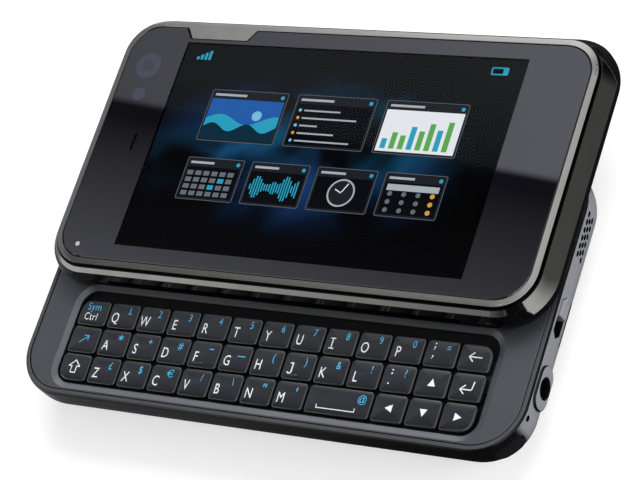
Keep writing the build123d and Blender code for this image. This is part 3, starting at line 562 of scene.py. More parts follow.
def satin_ring():
    """Screen ring: fine satin metal on top, and black down its outer wall as a painted shade. Its top and
    its rounded outer edge shade as one face that falls a little outwards: the relief is that fall less what
    the edge drops."""
    material, tree, shader, place = started_material("satin_ring")
    height = maths(tree, "DIVIDE", axis_value(tree, place, 2), MM)
    top = spread(tree, height, RING_FOOT - 0.02, RING_FOOT + 0.02)
    lines = use_group(tree, BRUSHED, Vector=place, Shade_Swing=0.06)
    marks = use_group(tree, HANDLING, Vector=place, Clean=0.22, Smudged=0.26)
    # Black below the foot is painted shade; the satin grey above is the metal's own.
    colour = blend_colours(tree, top, rgb(8, 8, 8), rgb(146, 146, 146))
    coloured(tree, shader, colour, lines["Shade"])
    roughened(tree, shader, marks["Roughness"])
    outside = outside_distance(tree, place, RING_INNER_X, RING_INNER_Y, RING_CORNER)
    dropped = maths(tree, "SUBTRACT", GLASS_TOP, height)
    fall = maths(tree, "ADD", product(tree, outside, -RING_FALL), dropped)
    relief = maths(tree, "ADD", fall, product(tree, lines["Height"], RING_LINES))
    bumped(tree, shader, relief, 1.0, 1.0)
    set_shader(shader, Metallic=1.0)
    return material


# ---------------------------------------------------------------- a finish for each slot of the record


def plain_plastics():
    """The slots in moulded plastic: colour, clean and smudged roughness, and what differs from the usual."""
    rows = {
        "screen_panel": ((14, 15, 17), 0.2, 0.3, {}),
        "deck_satin": ((88, 90, 96), 0.3, 0.32, {"grain": 7000.0, "depth": 0.002, "metal": 0.55}),
        "mat_rubber": ((8, 8, 9), 0.55, 0.7, {"ior": 1.3}),
        "circuit_board": ((20, 62, 44), 0.4, 0.5, {}),
        "battery_wrap": ((60, 62, 66), 0.35, 0.5, {}),
        "speaker_black": ((12, 12, 13), 0.5, 0.6, {}),
        "socket_black": ((12, 12, 13), 0.34, 0.42, {"grain": 5000.0, "depth": 0.002}),
        "camera_black": ((12, 12, 13), 0.25, 0.35, {}),
        "cover_black": ((34, 34, 36), 0.42, 0.5, {"grain": 3200.0, "depth": 0.01}),
        "shutter_black": ((26, 26, 28), 0.28, 0.36, {}),
        "side_key_black": ((30, 30, 32), 0.2, 0.3, {}),
        "stylus_black": ((24, 23, 26), 0.1, 0.16, {}),
        "keycap_black": ((21, 22, 27), 0.15, 0.2, {"grain": 6500.0, "depth": 0.001, "ior": 1.8}),
    }
    return {
        name: moulded_plastic(name, rgb(*colour), clean, smudged, **special)
        for name, (colour, clean, smudged, special) in rows.items()
    }


SLOT_MATERIALS = {
    "window_glass": window_glass(),
    "satin_ring": satin_ring(),
    "gloss_black": screen_case_lacquer(),
    "case_grey": keyboard_case_lacquer(),
    "switch_grey": lock_switch_plastic(),
    "plate_alloy": brushed_metal("plate_alloy", rgb(140, 142, 146), 0.28, 0.4),
    "screw_steel": brushed_metal("screw_steel", rgb(150, 150, 150), 0.25, 0.35),
    "stand_steel": brushed_metal("stand_steel", rgb(96, 96, 98), 0.24, 0.34),
    **plain_plastics(),
}
LEGEND_WHITE = printed_legend("legend_white", rgb(226, 227, 228))
LEGEND_BLUE = printed_legend("legend_blue", rgb(70, 172, 216))


def dress_solids():
    """Every solid gets the material of its own slot."""
    for row in frame["record"]["subparts"]:
        solid = NODES[row["node"]]
        for holder in solid.material_slots:
            holder.material = SLOT_MATERIALS[row["material_slot"]]


dress_solids()

# ---------------------------------------------------------------- key legends

LETTER_SIZE = 10.0
LETTER_SPACE = 1.1
CAPITAL_MIDDLE = 0.36
DRAWN_WORDS = {}


def letter_mesh(text):
    """Points and faces of a word in the built-in lettering at size one, kept for the next use."""
    if text not in DRAWN_WORDS:
        curve = bpy.data.curves.new("letter", "FONT")
        curve.body = text
        curve.size = LETTER_SIZE
        curve.resolution_u = 4
        curve.space_character = LETTER_SPACE
        holder = bpy.data.objects.new("letter", curve)
        mesh = bpy.data.meshes.new_from_object(holder)
        points = np.zeros(len(mesh.vertices) * 3)
        mesh.vertices.foreach_get("co", points)
        faces = [list(face.vertices) for face in mesh.polygons]
        DRAWN_WORDS[text] = (points.reshape(-1, 3)[:, :2] / LETTER_SIZE, faces)
        bpy.data.meshes.remove(mesh)
        bpy.data.objects.remove(holder)
        bpy.data.curves.remove(curve)
    return DRAWN_WORDS[text]


def word(text, centre_x, middle_y, size, narrow=0.74):
    """A word with its box centred at a point. Narrow is the share of the lettering's width that it keeps."""
    points, faces = letter_mesh(text)
    box_x = (points[:, 0].min() + points[:, 0].max()) / 2
    x = (points[:, 0] - box_x) * size * narrow + centre_x
    y = (points[:, 1] - CAPITAL_MIDDLE) * size + middle_y
    return np.column_stack([x, y]), faces


def stroke(path, width):
    """A flat ribbon along straight runs: each run is four rectangles of that width, and each of them reaches
    nearly half a width past its ends."""
    path = np.asarray(path, float)
    share = np.linspace(0, 1, 5)[:-1, None]
    path = np.vstack([*(a + (b - a) * share for a, b in zip(path[:-1], path[1:])), path[-1:]])
    start, end = path[:-1], path[1:]
    along = (end - start) / np.linalg.norm(end - start, axis=1, keepdims=True)
    across = np.stack([-along[:, 1], along[:, 0]], axis=1) * width / 2
    start, end = start - along * width / 2.2, end + along * width / 2.2
    corners = np.stack([start - across, end - across, end + across, start + across], axis=1)
    faces = np.arange(len(corners) * 4).reshape(-1, 4).tolist()
    return corners.reshape(-1, 2), faces


def shape(corners):
    """One flat face with these corners."""
    return np.asarray(corners, float), [list(range(len(corners)))]


def arrow_head(centre, size, heading):
    """Solid triangle that points along a heading in degrees."""
    turn = math.radians(heading)
    spin = np.array([[math.cos(turn), math.sin(turn)], [-math.sin(turn), math.cos(turn)]])
    corners = np.array([[0.55, 0.0], [-0.45, 0.52], [-0.45, -0.52]]) * size
    return shape(corners @ spin + np.asarray(centre))


def euro(centre, size):
    """An open round with two bars, for the currency sign the built-in lettering may lack."""
    turn = np.linspace(math.radians(48), math.radians(312), 14)
    arc = np.stack([np.cos(turn) * 0.30, np.sin(turn) * 0.36], axis=1) * size + np.asarray(centre)
    bars = [np.array([(-0.42, lift), (0.12, lift)]) * size + np.asarray(centre) for lift in (0.075, -0.075)]
    return [stroke(arc, 0.09 * size), *(stroke(bar, 0.07 * size) for bar in bars)]


# Sizes and places of the white capitals and the blue second marks, from the middle of a key.
MAIN_SIZE, SECOND_SIZE = 2.95, 2.2
MAIN_AT, SECOND_AT = (-1.65, -0.55), (1.3, 1.15)
CAPITAL_REACH = MAIN_SIZE * 0.34
LINE_WIDTH, DOT_RADIUS = 0.22, 0.17
# The keys of each row from left to right. None is the second column of the space bar.
ROWS = [
    ["ctrl", "q", "w", "e", "r", "t", "y", "u", "i", "o", "p", "semicolon", "backspace"],
    ["fn", "a", "s", "d", "f", "g", "h", "j", "k", "l", "colon", "up", "enter"],
    ["shift", "z", "x", "c", "v", "b", "n", "m", "space", None, "left", "down", "right"],
]
SECOND_MARKS = dict(zip("wertyuiop", "234567890"))
SECOND_MARKS.update({"s": "+", "d": "#", "h": "(", "j": ")", "k": "&", "l": "!", "colon": "?"})
SECOND_MARKS.update({"z": "£", "x": "$", "v": "/", "b": "\\", "n": '"', "m": "'", "semicolon": "="})


def dot(x, y):
    """Round point."""
    return shape(ring_outline(DOT_RADIUS, 10) + (x, y))


def tail(x, y):
    """The comma's tail below a point."""
    return stroke([(x + 0.08, y), (x - 0.14, y - 0.5)], 0.16)


def bent_arrow():
    """Enter: a hook that comes down and runs back to an arrow point."""
    hook = [(1.3, 1.1), (1.15, -0.25), (0.95, -0.5), (-1.1, -0.5)]
    point = [(-0.35, 0.3), (-1.2, -0.5), (-0.35, -1.3)]
    return [stroke(hook, LINE_WIDTH), stroke(point, LINE_WIDTH)]


def left_arrow():
    """Backspace: a shaft with an open point."""
    point = [(-0.4, 0.85), (-1.25, 0), (-0.4, -0.85)]
    return [stroke([(1.2, 0), (-1.2, 0)], LINE_WIDTH), stroke(point, LINE_WIDTH)]


def shift_arrow():
    """Outline of an upward arrow with a stem."""
    right = [(0, 1.4), (1.25, 0.15), (0.55, 0.15), (0.55, -1.2)]
    left = [(-x, y) for x, y in right[::-1]]
    return [stroke(right + left, 0.2)]


def fn_arrow():
    """Slanted arrow that leads to the blue marks."""
    point = [(-0.1, 0.85), (0.85, 0.85), (0.85, 0.0)]
    return [stroke([(-0.95, -0.7), (0.8, 0.75)], 0.15), stroke(point, 0.17)]


def letter_i():
    """The I as a stem with a bar at both ends."""
    x, y = MAIN_AT
    bars = [[(x - 0.45, y + reach), (x + 0.45, y + reach)] for reach in (CAPITAL_REACH, -CAPITAL_REACH)]
    return [word("I", *MAIN_AT, MAIN_SIZE), *(stroke(bar, 0.2) for bar in bars)]


def letter_j():
    """The J as a short bar into the head of a stem that hooks back to the left."""
    x, top, foot = MAIN_AT[0], MAIN_AT[1] + CAPITAL_REACH, MAIN_AT[1] - CAPITAL_REACH
    stem = [(x - 0.1, top), (x + 0.38, top), (x + 0.38, foot + 0.35)]
    hook = [(x + 0.18, foot + 0.02), (x - 0.25, foot), (x - 0.45, foot + 0.18)]
    return [stroke(stem + hook, 0.26)]


def star(x, y, reach):
    """Three strokes that cross at equal angles."""
    turns = np.radians([90, 30, 150])
    tips = [np.array([math.cos(turn), math.sin(turn)]) * reach for turn in turns]
    return [stroke([(x, y) - tip, (x, y) + tip], 0.17) for tip in tips]


def white_marks(name):
    """A key's white marks: its capital, or what the special keys have instead."""
    if len(name) == 1:
        capital = {"i": letter_i, "j": letter_j}.get(name)
        return capital() if capital else [word(name.upper(), *MAIN_AT, MAIN_SIZE)]
    special = {
        "ctrl": lambda: [word("Ctrl", -0.4, -0.9, 2.15, 0.8)],
        "semicolon": lambda: [
            *(dot(-1.5, y) for y in (1.8, 1.1, -0.7)),
            *(tail(-1.5, y) for y in (1.1, -0.7)),
        ],
        "colon": lambda: [dot(-1.5, 1.6), dot(-1.5, 0.9), dot(-1.7, -1.1)],
        "backspace": left_arrow,
        "enter": bent_arrow,
        "shift": shift_arrow,
        "space": lambda: [stroke([(-4.3, -1.05), (-4.3, -1.65), (3.7, -1.65), (3.7, -1.05)], 0.17)],
        "up": lambda: [arrow_head((0, 0), 1.5, 90)],
        "left": lambda: [arrow_head((0, 0), 1.5, 180)],
        "down": lambda: [arrow_head((0, 0), 1.5, 270)],
        "right": lambda: [arrow_head((0, 0), 1.5, 0)],
    }
    return special[name]() if name in special else []


def blue_marks(name):
    """A key's blue marks, which the fn key reaches."""
    special = {
        "ctrl": lambda: [word("Sym", -0.2, 1.2, 2.2, 0.86)],
        "q": lambda: [word("1", *SECOND_AT, SECOND_SIZE), stroke([(1.04, 0.45), (1.76, 0.45)], 0.16)],
        "a": lambda: star(1.3, 1.25, 0.55),
        "fn": fn_arrow,
        "c": lambda: euro(SECOND_AT, 2.1),
        "f": lambda: [stroke([(0.95, 1.15), (1.75, 1.15)], 0.2)],
        "g": lambda: [stroke([(0.5, 0.45), (2.0, 0.45)], 0.2)],
        "space": lambda: [word("@", 4.7, 1.1, 2.0, 0.95)],
    }
    if name in special:
        return special[name]()
    if name in SECOND_MARKS:
        mark = SECOND_MARKS[name]
        if mark in "'\"":
            return [word(mark, SECOND_AT[0], SECOND_AT[1] - 0.62, 3.1, 0.95)]
        return [word(mark, *SECOND_AT, SECOND_SIZE)]
    return []


# ---------------------------------------------------------------- keycaps

CAP_RISE = 0.13
CAP_FACE = 11.38
# Insets from the cap's outline and heights, from its foot up and over its rolled edge to the face.
CAP_PROFILE = [
    (0.0, 10.72),
    (0.0, 11.16),
    (0.02, 11.25),
    (0.07, 11.31),
    (0.15, 11.35),
    (0.3, 11.37),
    (0.8, CAP_FACE),
    (1.5, CAP_FACE),
    (2.2, CAP_FACE),
]
LEGEND_BASE = 11.405
SHARPEST_CORNER = 0.12


def crown(x, y, half_x, half_y):
    """Pillow height over a cap: the rise times one minus the square of the share of the way to the edge,
    taken along X and along Y."""
    share_x = np.clip(np.abs(x) / half_x, 0, 1)
    share_y = np.clip(np.abs(y) / half_y, 0, 1)
    return CAP_RISE * (1 - share_x**2) * (1 - share_y**2)


def cap_rings(half_x, half_y, radii):
    """The cap's rings: its outline drawn in by each inset of the profile, at that height plus the crown."""
    rings = []
    for inset, height in CAP_PROFILE:
        ring = rounded_outline(half_x - inset, half_y - inset, np.maximum(radii - inset, SHARPEST_CORNER), 5)
        rings.append(np.column_stack([ring, height + crown(*ring.T, half_x, half_y)]))
    return rings


RIDGE_KEYS = ("f", "j")
RIDGE_AT, RIDGE_HALF_X, RIDGE_HALF_Y, RIDGE_RISE = (-0.65, -1.9), 1.1, 0.2, 0.2
RIDGE_PROFILE = ((0.0, 0.0), (0.03, 0.7), (0.09, 1.0))


def finger_ridge(half_x, half_y):
    """Raised bar where the forefingers rest: an outline that draws in as it rises from the crown."""
    rings = []
    for inset, share in RIDGE_PROFILE:
        ring = rounded_outline(RIDGE_HALF_X - inset, RIDGE_HALF_Y - inset, 0.05, 3) + RIDGE_AT
        height = CAP_FACE + RIDGE_RISE * share + crown(*ring.T, half_x, half_y)
        rings.append(np.column_stack([ring, height]))
    return (*dome_mesh(rings), 0)


def key_centre(column, span, row):
    """Middle of a key that starts in a column, spans one or two of them and lies in a row."""
    x = (column + (span - 1) / 2 - (KEY_COLUMNS - 1) / 2) * KEY_PITCH_X
    y = FIELD_CENTRE_Y + (1 - row) * KEY_PITCH_Y
    return x, y


def cap_corners(name):
    """The four corner radii, anticlockwise from +X +Y. A key in the field's corner is rounder there."""
    radii = np.full(4, KEY_CORNER)
    at = {"backspace": 0, "ctrl": 1, "shift": 2, "right": 3}
    if name in at:
        radii[at[name]] = FIELD_CORNER
    return radii


def make_key(name, column, span, row):
    """One keycap with its marks, in place of the plain key."""
    half_x = (span * KEY_PITCH_X - KEY_GAP) / 2
    half_y = (KEY_PITCH_Y - KEY_GAP) / 2
    points, faces = dome_mesh(cap_rings(half_x, half_y, cap_corners(name)))
    points[-1, 2] = CAP_FACE + CAP_RISE
    parts = [(points, faces, 0)]
    if name in RIDGE_KEYS:
        parts.append(finger_ridge(half_x, half_y))
    for number, marks in ((1, white_marks(name)), (2, blue_marks(name))):
        for flat, mark_faces in marks:
            height = LEGEND_BASE + crown(*flat.T, half_x, half_y)
            parts.append((np.column_stack([flat, height]), mark_faces, number))
    points, faces, numbers = joined(parts)
    points[:, :2] += key_centre(column, span, row)
    materials = [SLOT_MATERIALS["keycap_black"], LEGEND_WHITE, LEGEND_BLUE]
    cap = new_piece("keycap_" + name, points, faces, materials, "key_" + name, numbers)
    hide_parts("key_" + name)


for row, names in enumerate(ROWS):
    for column, name in enumerate(names):
        if name:
            make_key(name, column, 2 if name == "space" else 1, row)

# ---------------------------------------------------------------- behind the window

PICTURE_Z = GLASS_BOTTOM + 0.02
LAYER_GAP = 0.004
PANE_EDGE = 0.2
TAB_X, TAB_HALF, TAB_SLANT, TAB_DEPTH = -31.1, 6.4, 1.8, 2.3
TAB_GAP = 0.15
EARPIECE_AT, EARPIECE_HALF_X, EARPIECE_HALF_Y, EARPIECE_MESH = (-42.35, -0.4), 0.4, 1.95, 17.35
ON_GLASS = GLASS_TOP + 0.01


def place_on_window(points, x=0.0, y=0.0):
    """Moves points drawn about the screen's middle to the opened screen half."""
    moved = np.array(points, float)
    moved[:, 0] += x
    moved[:, 1] += OPEN_Y + y
    return moved


def flat_with_holes(outlines):
    """Points and triangles of a flat area bounded by the first outline and pierced by the others."""
    points = np.vstack(outlines)
    corners = [[Vector((x, y, 0.0)) for x, y in outline] for outline in outlines]
    return points, [list(face) for face in tessellate_polygon(corners)]


def turned_up(points, faces):
    """The flat faces wound so that each looks up: the cross product of two of its sides is positive."""
    corner = np.asarray(points)[np.asarray(faces)]
    first, second = corner[:, 1] - corner[:, 0], corner[:, 2] - corner[:, 0]
    area = first[:, 0] * second[:, 1] - first[:, 1] * second[:, 0]
    return [face if size > 0 else face[::-1] for face, size in zip(faces, area)]


def pane_outline(inset):
    """The window's outline drawn in by an inset, with the notch for the ring's tab in its far side."""
    steps = 10
    outline = rounded_outline(GLASS_HALF_X - inset, GLASS_HALF_Y - inset, GLASS_CORNER - inset, steps)
    gap = TAB_GAP + inset
    low = GLASS_HALF_Y - TAB_DEPTH - gap
    high = GLASS_HALF_Y - inset
    reach = TAB_HALF + gap + TAB_SLANT * (high - low) / (TAB_DEPTH + 2 * TAB_GAP)
    foot = TAB_HALF + gap
    notch = [(TAB_X + reach, high), (TAB_X + foot, low), (TAB_X - foot, low), (TAB_X - reach, high)]
    return np.insert(outline, [steps] * 4, notch, axis=0)


def earpiece_outline():
    """The earpiece slot, a long narrow round-ended hole."""
    return rounded_outline(EARPIECE_HALF_X, EARPIECE_HALF_Y, EARPIECE_HALF_X - 0.02, 6)


def window_pane():
    """The window: clear over the picture, black print around it, a chamfered edge and the earpiece slot."""
    rim, edge = pane_outline(PANE_EDGE), pane_outline(0.0)
    picture = rounded_outline(LCD_HALF_X, LCD_HALF_Y, 0.15, 3)
    slot = earpiece_outline() + EARPIECE_AT
    flat, faces = flat_with_holes([rim, picture, slot])
    border = (at_height(flat, GLASS_TOP), turned_up(flat, faces), 1)
    levels = [(edge, GLASS_BOTTOM), (edge, GLASS_TOP - PANE_EDGE), (rim, GLASS_TOP)]
    side = (np.vstack([at_height(*level) for level in levels]), loft_faces(3, len(edge)), 1)
    slot_wall = np.vstack([at_height(slot, GLASS_TOP), at_height(slot, GLASS_BOTTOM)])
    well = (slot_wall, loft_faces(2, len(slot)), 1)
    clear = (at_height(picture, GLASS_TOP), [list(range(len(picture)))], 0)
    points, faces, numbers = joined([clear, border, side, well])
    materials = [SLOT_MATERIALS["window_glass"], window_print("window_print", rgb(14, 14, 19))]
    placed = place_on_window(points)
    pane = new_piece("window_pane", placed, faces, materials, "screen_half", numbers, False)
    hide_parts("display_window")


def disc(name, x, y, radius, height, material, dome=0.0, steps=40):
    """A low round cap: rings from the rim in, each lifted by the dome times one minus its share squared."""
    rings = [
        at_height(ring_outline(radius * share, steps), height + dome * (1 - share * share))
        for share in (1.0, 0.75, 0.5, 0.25)
    ]
    points, faces = dome_mesh(rings)
    points[-1, 2] = height + dome
    new_piece(name, place_on_window(points, x, y), faces, [material], "screen_half")


def window_details():
    """Small camera, light sensor, status light and earpiece mesh of the screen half."""
    lens_rim = window_print("lens_rim", rgb(34, 40, 56))
    lens_dark = window_print("lens_dark", rgb(22, 27, 42))
    light = printed_legend("status_light", rgb(172, 174, 184))
    mesh_cloth = moulded_plastic("earpiece_mesh", rgb(14, 14, 16), 0.5, 0.6, grain=2600.0, depth=0.02)
    camera_at = (-45.5, 17.0)
    disc("camera_rim", *camera_at, 2.9, ON_GLASS, lens_rim)
    disc("camera_eye", *camera_at, 1.2, ON_GLASS + 0.01, lens_dark)
    disc("light_sensor", -45.3, 10.4, 1.5, ON_GLASS, lens_rim)
    disc("status_light", -46.6, -23.5, 0.5, ON_GLASS, light, 0.01, 16)
    points, faces = dome_mesh([at_height(earpiece_outline() * share, EARPIECE_MESH) for share in (1.0, 0.5)])
    placed = place_on_window(points, *EARPIECE_AT)
    new_piece("earpiece_mesh", placed, faces, [mesh_cloth], "screen_half")


window_pane()
window_details()

# ---------------------------------------------------------------- the picture on the screen


def lit_surface(tree, shader, colour):
    """A surface that gives its own light in a colour and mirrors nothing."""
    give(tree, colour, shader.inputs["Emission Color"])
    set_shader(shader, Base_Color=rgb(3, 3, 4), Emission_Strength=1.0, Roughness=0.4, Specular_IOR_Level=0.0)


def glow_material():
    """Drifting cloud glow, teal to blue, that fades to black towards the screen's edges, over a dark ground
    that turns grey towards the far side as a painted reflection.
    """
    material, tree, shader, place = started_material("screen_glow")
    centre = (0.004, -OPEN_Y * MM, -PICTURE_Z * MM)
    centred = put(tree, "ShaderNodeMapping", {"Vector": place, "Location": centre}).outputs[0]
    drifting = {"Vector": centred, "Scale": 62.0, "Detail": 2.0, "Roughness": 0.5, "Distortion": 0.5}
    cloud = put(tree, "ShaderNodeTexNoise", drifting).outputs[0]
    broad = put(tree, "ShaderNodeTexNoise", {"Vector": centred, "Scale": 28.0, "Detail": 1.0}).outputs[0]
    squeezed = put(tree, "ShaderNodeMapping", {"Vector": centred, "Scale": (27.0, 58.0, 1.0)}).outputs[0]
    fade = spread(tree, vectors(tree, "LENGTH", squeezed), 1.15, 0.15)
    mist = product(tree, spread(tree, cloud, 0.36, 0.74), fade)
    tone = blend_colours(tree, spread(tree, broad, 0.4, 0.6), rgb(24, 96, 132), rgb(26, 62, 112))
    # Painted reflection: the dark ground glows grey towards the screen's far side.
    painted_reflection_share = spread(tree, axis_value(tree, centred, 1), -0.008, 0.02)
    dark = blend_colours(tree, painted_reflection_share, rgb(1, 1, 1), rgb(21, 22, 22))
    lit_surface(tree, shader, blend_colours(tree, mist, dark, tone))
    return material


def picture_material():
    """Lit picture elements: the colour painted on each shape, with a fine column pattern."""
    material, tree, shader, place = started_material("screen_paint")
    paint = put(tree, "ShaderNodeAttribute", attribute_name="paint").outputs["Color"]
    columns = put(tree, "ShaderNodeTexWave", {"Vector": place, "Scale": 3300.0}, wave_type="BANDS")
    level = spread(tree, columns.outputs["Fac"], 0.0, 1.0, 0.92, 1.0)
    lit_surface(tree, shader, shaded(tree, paint, level))
    return material


def screen_glow():
    """The lit ground under the picture, over the whole screen panel."""
    outline = rounded_outline(LCD_HALF_X, LCD_HALF_Y, 0.2, 3)
    points, faces = dome_mesh([at_height(outline * share, PICTURE_Z) for share in (1.0, 0.5)])
    placed = place_on_window(points)
    new_piece("screen_glow", placed, faces, [glow_material()], "screen_half")


class Picture:
    """Flat coloured shapes laid over each other, each a hair above the one before it in its tile."""

    def __init__(self):
        self.parts = []
        self.colours = []
        self.level = 0

    def add(self, outline, colour):
        """One more flat shape on top."""
        self.level += 1
        flat, faces = shape(outline)
        self.parts.append((at_height(flat, PICTURE_Z + LAYER_GAP * self.level), faces, 0))
        self.colours.append(colour)

    def bar(self, x, y, width, height, colour, corner=0.0):
        """Rectangle from its lower left corner, rounded where a corner radius is given."""
        if corner:
            outline = rounded_outline(width / 2, height / 2, corner, 4)
        else:
            outline = np.array([(1, 1), (-1, 1), (-1, -1), (1, -1)]) * (width / 2, height / 2)
        self.add(outline + (x + width / 2, y + height / 2), colour)

    def round(self, x, y, radius, colour):
        """Disc about a point."""
        self.add(ring_outline(radius, 24) + (x, y), colour)

    def finish(self, name):
        """One piece of all the shapes, with the colour of each painted on its corners."""
        points, faces, numbers = joined(self.parts)
        materials = [picture_material()]
        placed = place_on_window(points)
        piece = new_piece(name, placed, faces, materials, "screen_half", numbers)
        paint = piece.data.attributes.new("paint", "FLOAT_COLOR", "CORNER")
        sizes = [len(face) for face in faces]
        paint.data.foreach_set("color", np.repeat(np.array(self.colours), sizes, axis=0).ravel())


WHITE, PALE, GREY = rgb(232, 236, 238), rgb(170, 178, 184), rgb(104, 110, 118)
DARK, NIGHT, TEAL = rgb(30, 33, 38), rgb(8, 10, 14), rgb(44, 160, 190)
BLUE, SKY, GREEN = rgb(34, 92, 168), rgb(120, 190, 222), rgb(92, 170, 84)
AMBER, EDGE = rgb(214, 158, 72), rgb(96, 104, 112)
RIDGE_TEAL = rgb(14, 46, 62)
TILE_MARGIN, TILE_HEADER = 0.4, 1.9


def tile_body(x, y, width, height):
    """The tile's area under its header: its lower left corner, its width and its height."""
    left, base = x + TILE_MARGIN, y + TILE_MARGIN
    return left, base, width - 2 * TILE_MARGIN, height - TILE_HEADER - TILE_MARGIN


def tile_frame(picture, x, y, width, height):
    """A tile's pale edge, its header strip with a short title bar and its dark body."""
    picture.bar(x - 0.12, y - 0.12, width + 0.24, height + 0.24, EDGE, 0.4)
    picture.bar(x, y, width, height, DARK, 0.32)
    picture.bar(x + 0.8, y + height - 1.25, width * 0.42, 0.5, PALE)
    picture.round(x + width - 1.1, y + height - 1.0, 0.42, TEAL)
    picture.bar(*tile_body(x, y, width, height), NIGHT)


def tile_chart(picture, x, y, width, height):
    """A page with a bar chart."""
    picture.bar(*tile_body(x, y, width, height), WHITE)
    step = (width - 2.4) / 8
    for index, share in enumerate((0.3, 0.5, 0.42, 0.7, 0.58, 0.82, 0.64, 0.9)):
        colour = GREEN if index % 3 else TEAL
        picture.bar(x + 1.2 + index * step, y + 1.0, step * 0.62, share * (height - 4.2), colour)


def tile_hills(picture, x, y, width, height):
    """A dusk landscape: sky, sun and two ridges whose crests are sine waves."""
    left, base, wide, tall = tile_body(x, y, width, height)
    picture.bar(left, base, wide, tall, BLUE)
    picture.round(x + width * 0.68, base + tall * 0.62, 1.1, SKY)
    run = np.linspace(0, 1, 24)
    for share, swing, waves, colour in ((0.5, 0.12, 1.3, TEAL), (0.3, 0.1, 2.1, RIDGE_TEAL)):
        crest = share + swing * np.sin(run * waves * 2 * math.pi)
        corners = np.array([(1, 0), *zip(run[::-1], crest[::-1]), (0, 0)])
        picture.add(corners * (wide, tall) + (left, base), colour)


def tile_lines(picture, x, y, width, height):
    """A list: round markers and lines of differing length."""
    count = 5
    step = (height - 2.9) / count
    for index in range(count):
        line_y = y + height - 2.5 - (index + 0.6) * step
        picture.round(x + 1.3, line_y + 0.2, 0.34, AMBER if index % 2 else SKY)
        picture.bar(x + 2.2, line_y, (width - 4) * (0.6 + 0.35 * math.sin(index * 2.1)), 0.34, PALE)


def tile_dial(picture, x, y, width, height):
    """A clock face: rim, face and two hands."""
    centre_x, centre_y = x + width / 2, y + (height - TILE_HEADER) / 2 + TILE_MARGIN
    radius = (height - 3.1) / 2
    picture.round(centre_x, centre_y, radius, PALE)
    picture.round(centre_x, centre_y, radius * 0.88, DARK)
    for reach, heading in ((0.75, 62), (0.5, 155)):
        turn = math.radians(heading)
        tip = (centre_x + radius * reach * math.cos(turn), centre_y + radius * reach * math.sin(turn))
        hand = stroke([(centre_x, centre_y), tip], 0.22)[0]
        picture.add(hand, WHITE)


def tile_grid(picture, x, y, width, height):
    """A month page: rows of small squares."""
    columns, rows = 6, 4
    step_x, step_y = (width - 1.6) / columns, (height - 3.1) / rows
    for index in range(columns * rows):
        column, line = index % columns, index // columns
        colour = TEAL if index in (9, 16) else GREY
        picture.bar(x + 0.8 + column * step_x, y + 0.8 + line * step_y, step_x * 0.72, step_y * 0.66, colour)


def tile_wave(picture, x, y, width, height):
    """A sound level meter: thin bars whose heights follow a product of two sine waves."""
    count = 20
    step = (width - 1.8) / count
    for index in range(count):
        level = 0.2 + 0.75 * abs(math.sin(index * 0.55) * math.cos(index * 0.21))
        tall = level * (height - 3.3)
        foot = y + TILE_MARGIN + (height - TILE_HEADER - TILE_MARGIN - tall) / 2
        picture.bar(x + 0.9 + index * step, foot, step * 0.55, tall, TEAL)


def tile_keypad(picture, x, y, width, height):
    """A calculator: a pale readout over rows of round keys."""
    picture.bar(x + 0.9, y + height - 3.6, width - 1.8, 1.3, PALE)
    for index in range(12):
        column, line = index % 4, index // 4
        at_x = x + 1.9 + column * (width - 3.8) / 3
        picture.round(at_x, y + 1.3 + line * (height - 5.6) / 2, 0.5, AMBER if column == 3 else GREY)


# Rows of the picture: the tiles, their width and height, the gap between them and the height of their foot.
TILE_ROWS = [
    ([tile_hills, tile_lines, tile_chart], 17.4, 11.2, 2.4, 1.6),
    ([tile_grid, tile_wave, tile_dial, tile_keypad], 12.8, 9.0, 2.0, -11.4),
]


def status_marks(picture):
    """Signal strength at the top left and battery level at the top right."""
    picture.level = 0
    for index in range(4):
        picture.bar(-35.2 + index * 0.9, 19.4, 0.6, 0.7 + 0.45 * index, TEAL)
    picture.bar(30.6, 19.5, 3.6, 1.7, TEAL, 0.3)
    picture.bar(30.9, 19.8, 2.2, 1.1, NIGHT)


def screen_picture():
    """Two rows of tiles, centred, and the status marks above them."""
    picture = Picture()
    for tiles, width, height, gap, base in TILE_ROWS:
        left = -(len(tiles) * width + (len(tiles) - 1) * gap) / 2
        for index, draw in enumerate(tiles):
            picture.level = 0
            place = (left + index * (width + gap), base, width, height)
            tile_frame(picture, *place)
            draw(picture, *place)
    status_marks(picture)
    picture.finish("screen_picture")


screen_glow()
screen_picture()

# ---------------------------------------------------------------- camera and studio

# The sensor and the place are in millimetres. Right, up and back are the camera's axes in the shared frame.
SENSOR = 36.0
FOCAL_PIXELS = 2551.6
IMAGE_WIDTH = 640
CAMERA_AT = (248.60, -163.74, 388.70)
CAMERA_RIGHT = (0.856104, 0.297224, -0.422781)
CAMERA_UP = (-0.081620, 0.885562, 0.457293)
CAMERA_BACK = (0.510317, -0.356983, 0.782393)


def make_camera():
    """The camera of the front view. Its focal length is given in pixels of the image."""
    data = bpy.data.cameras.new("camera")
    data.sensor_width = SENSOR
    data.lens = FOCAL_PIXELS / IMAGE_WIDTH * SENSOR
    data.clip_start = 0.01
    data.clip_end = 20.0
    camera = add_to_scene("camera", data)
    turn = Matrix((CAMERA_RIGHT, CAMERA_UP, CAMERA_BACK)).transposed().to_4x4()
    camera.matrix_world = Matrix.Translation(Vector(CAMERA_AT) * MM) @ turn
    bpy.context.scene.camera = camera


def emptied(owner):
    """The owner's node tree, switched on and without nodes."""
    owner.use_nodes = True
    owner.node_tree.nodes.clear()
    return owner.node_tree


def grey(level, blue=None):
    """A linear grey, or one with a level of its own in blue."""
    return (level, level, level if blue is None else blue, 1.0)


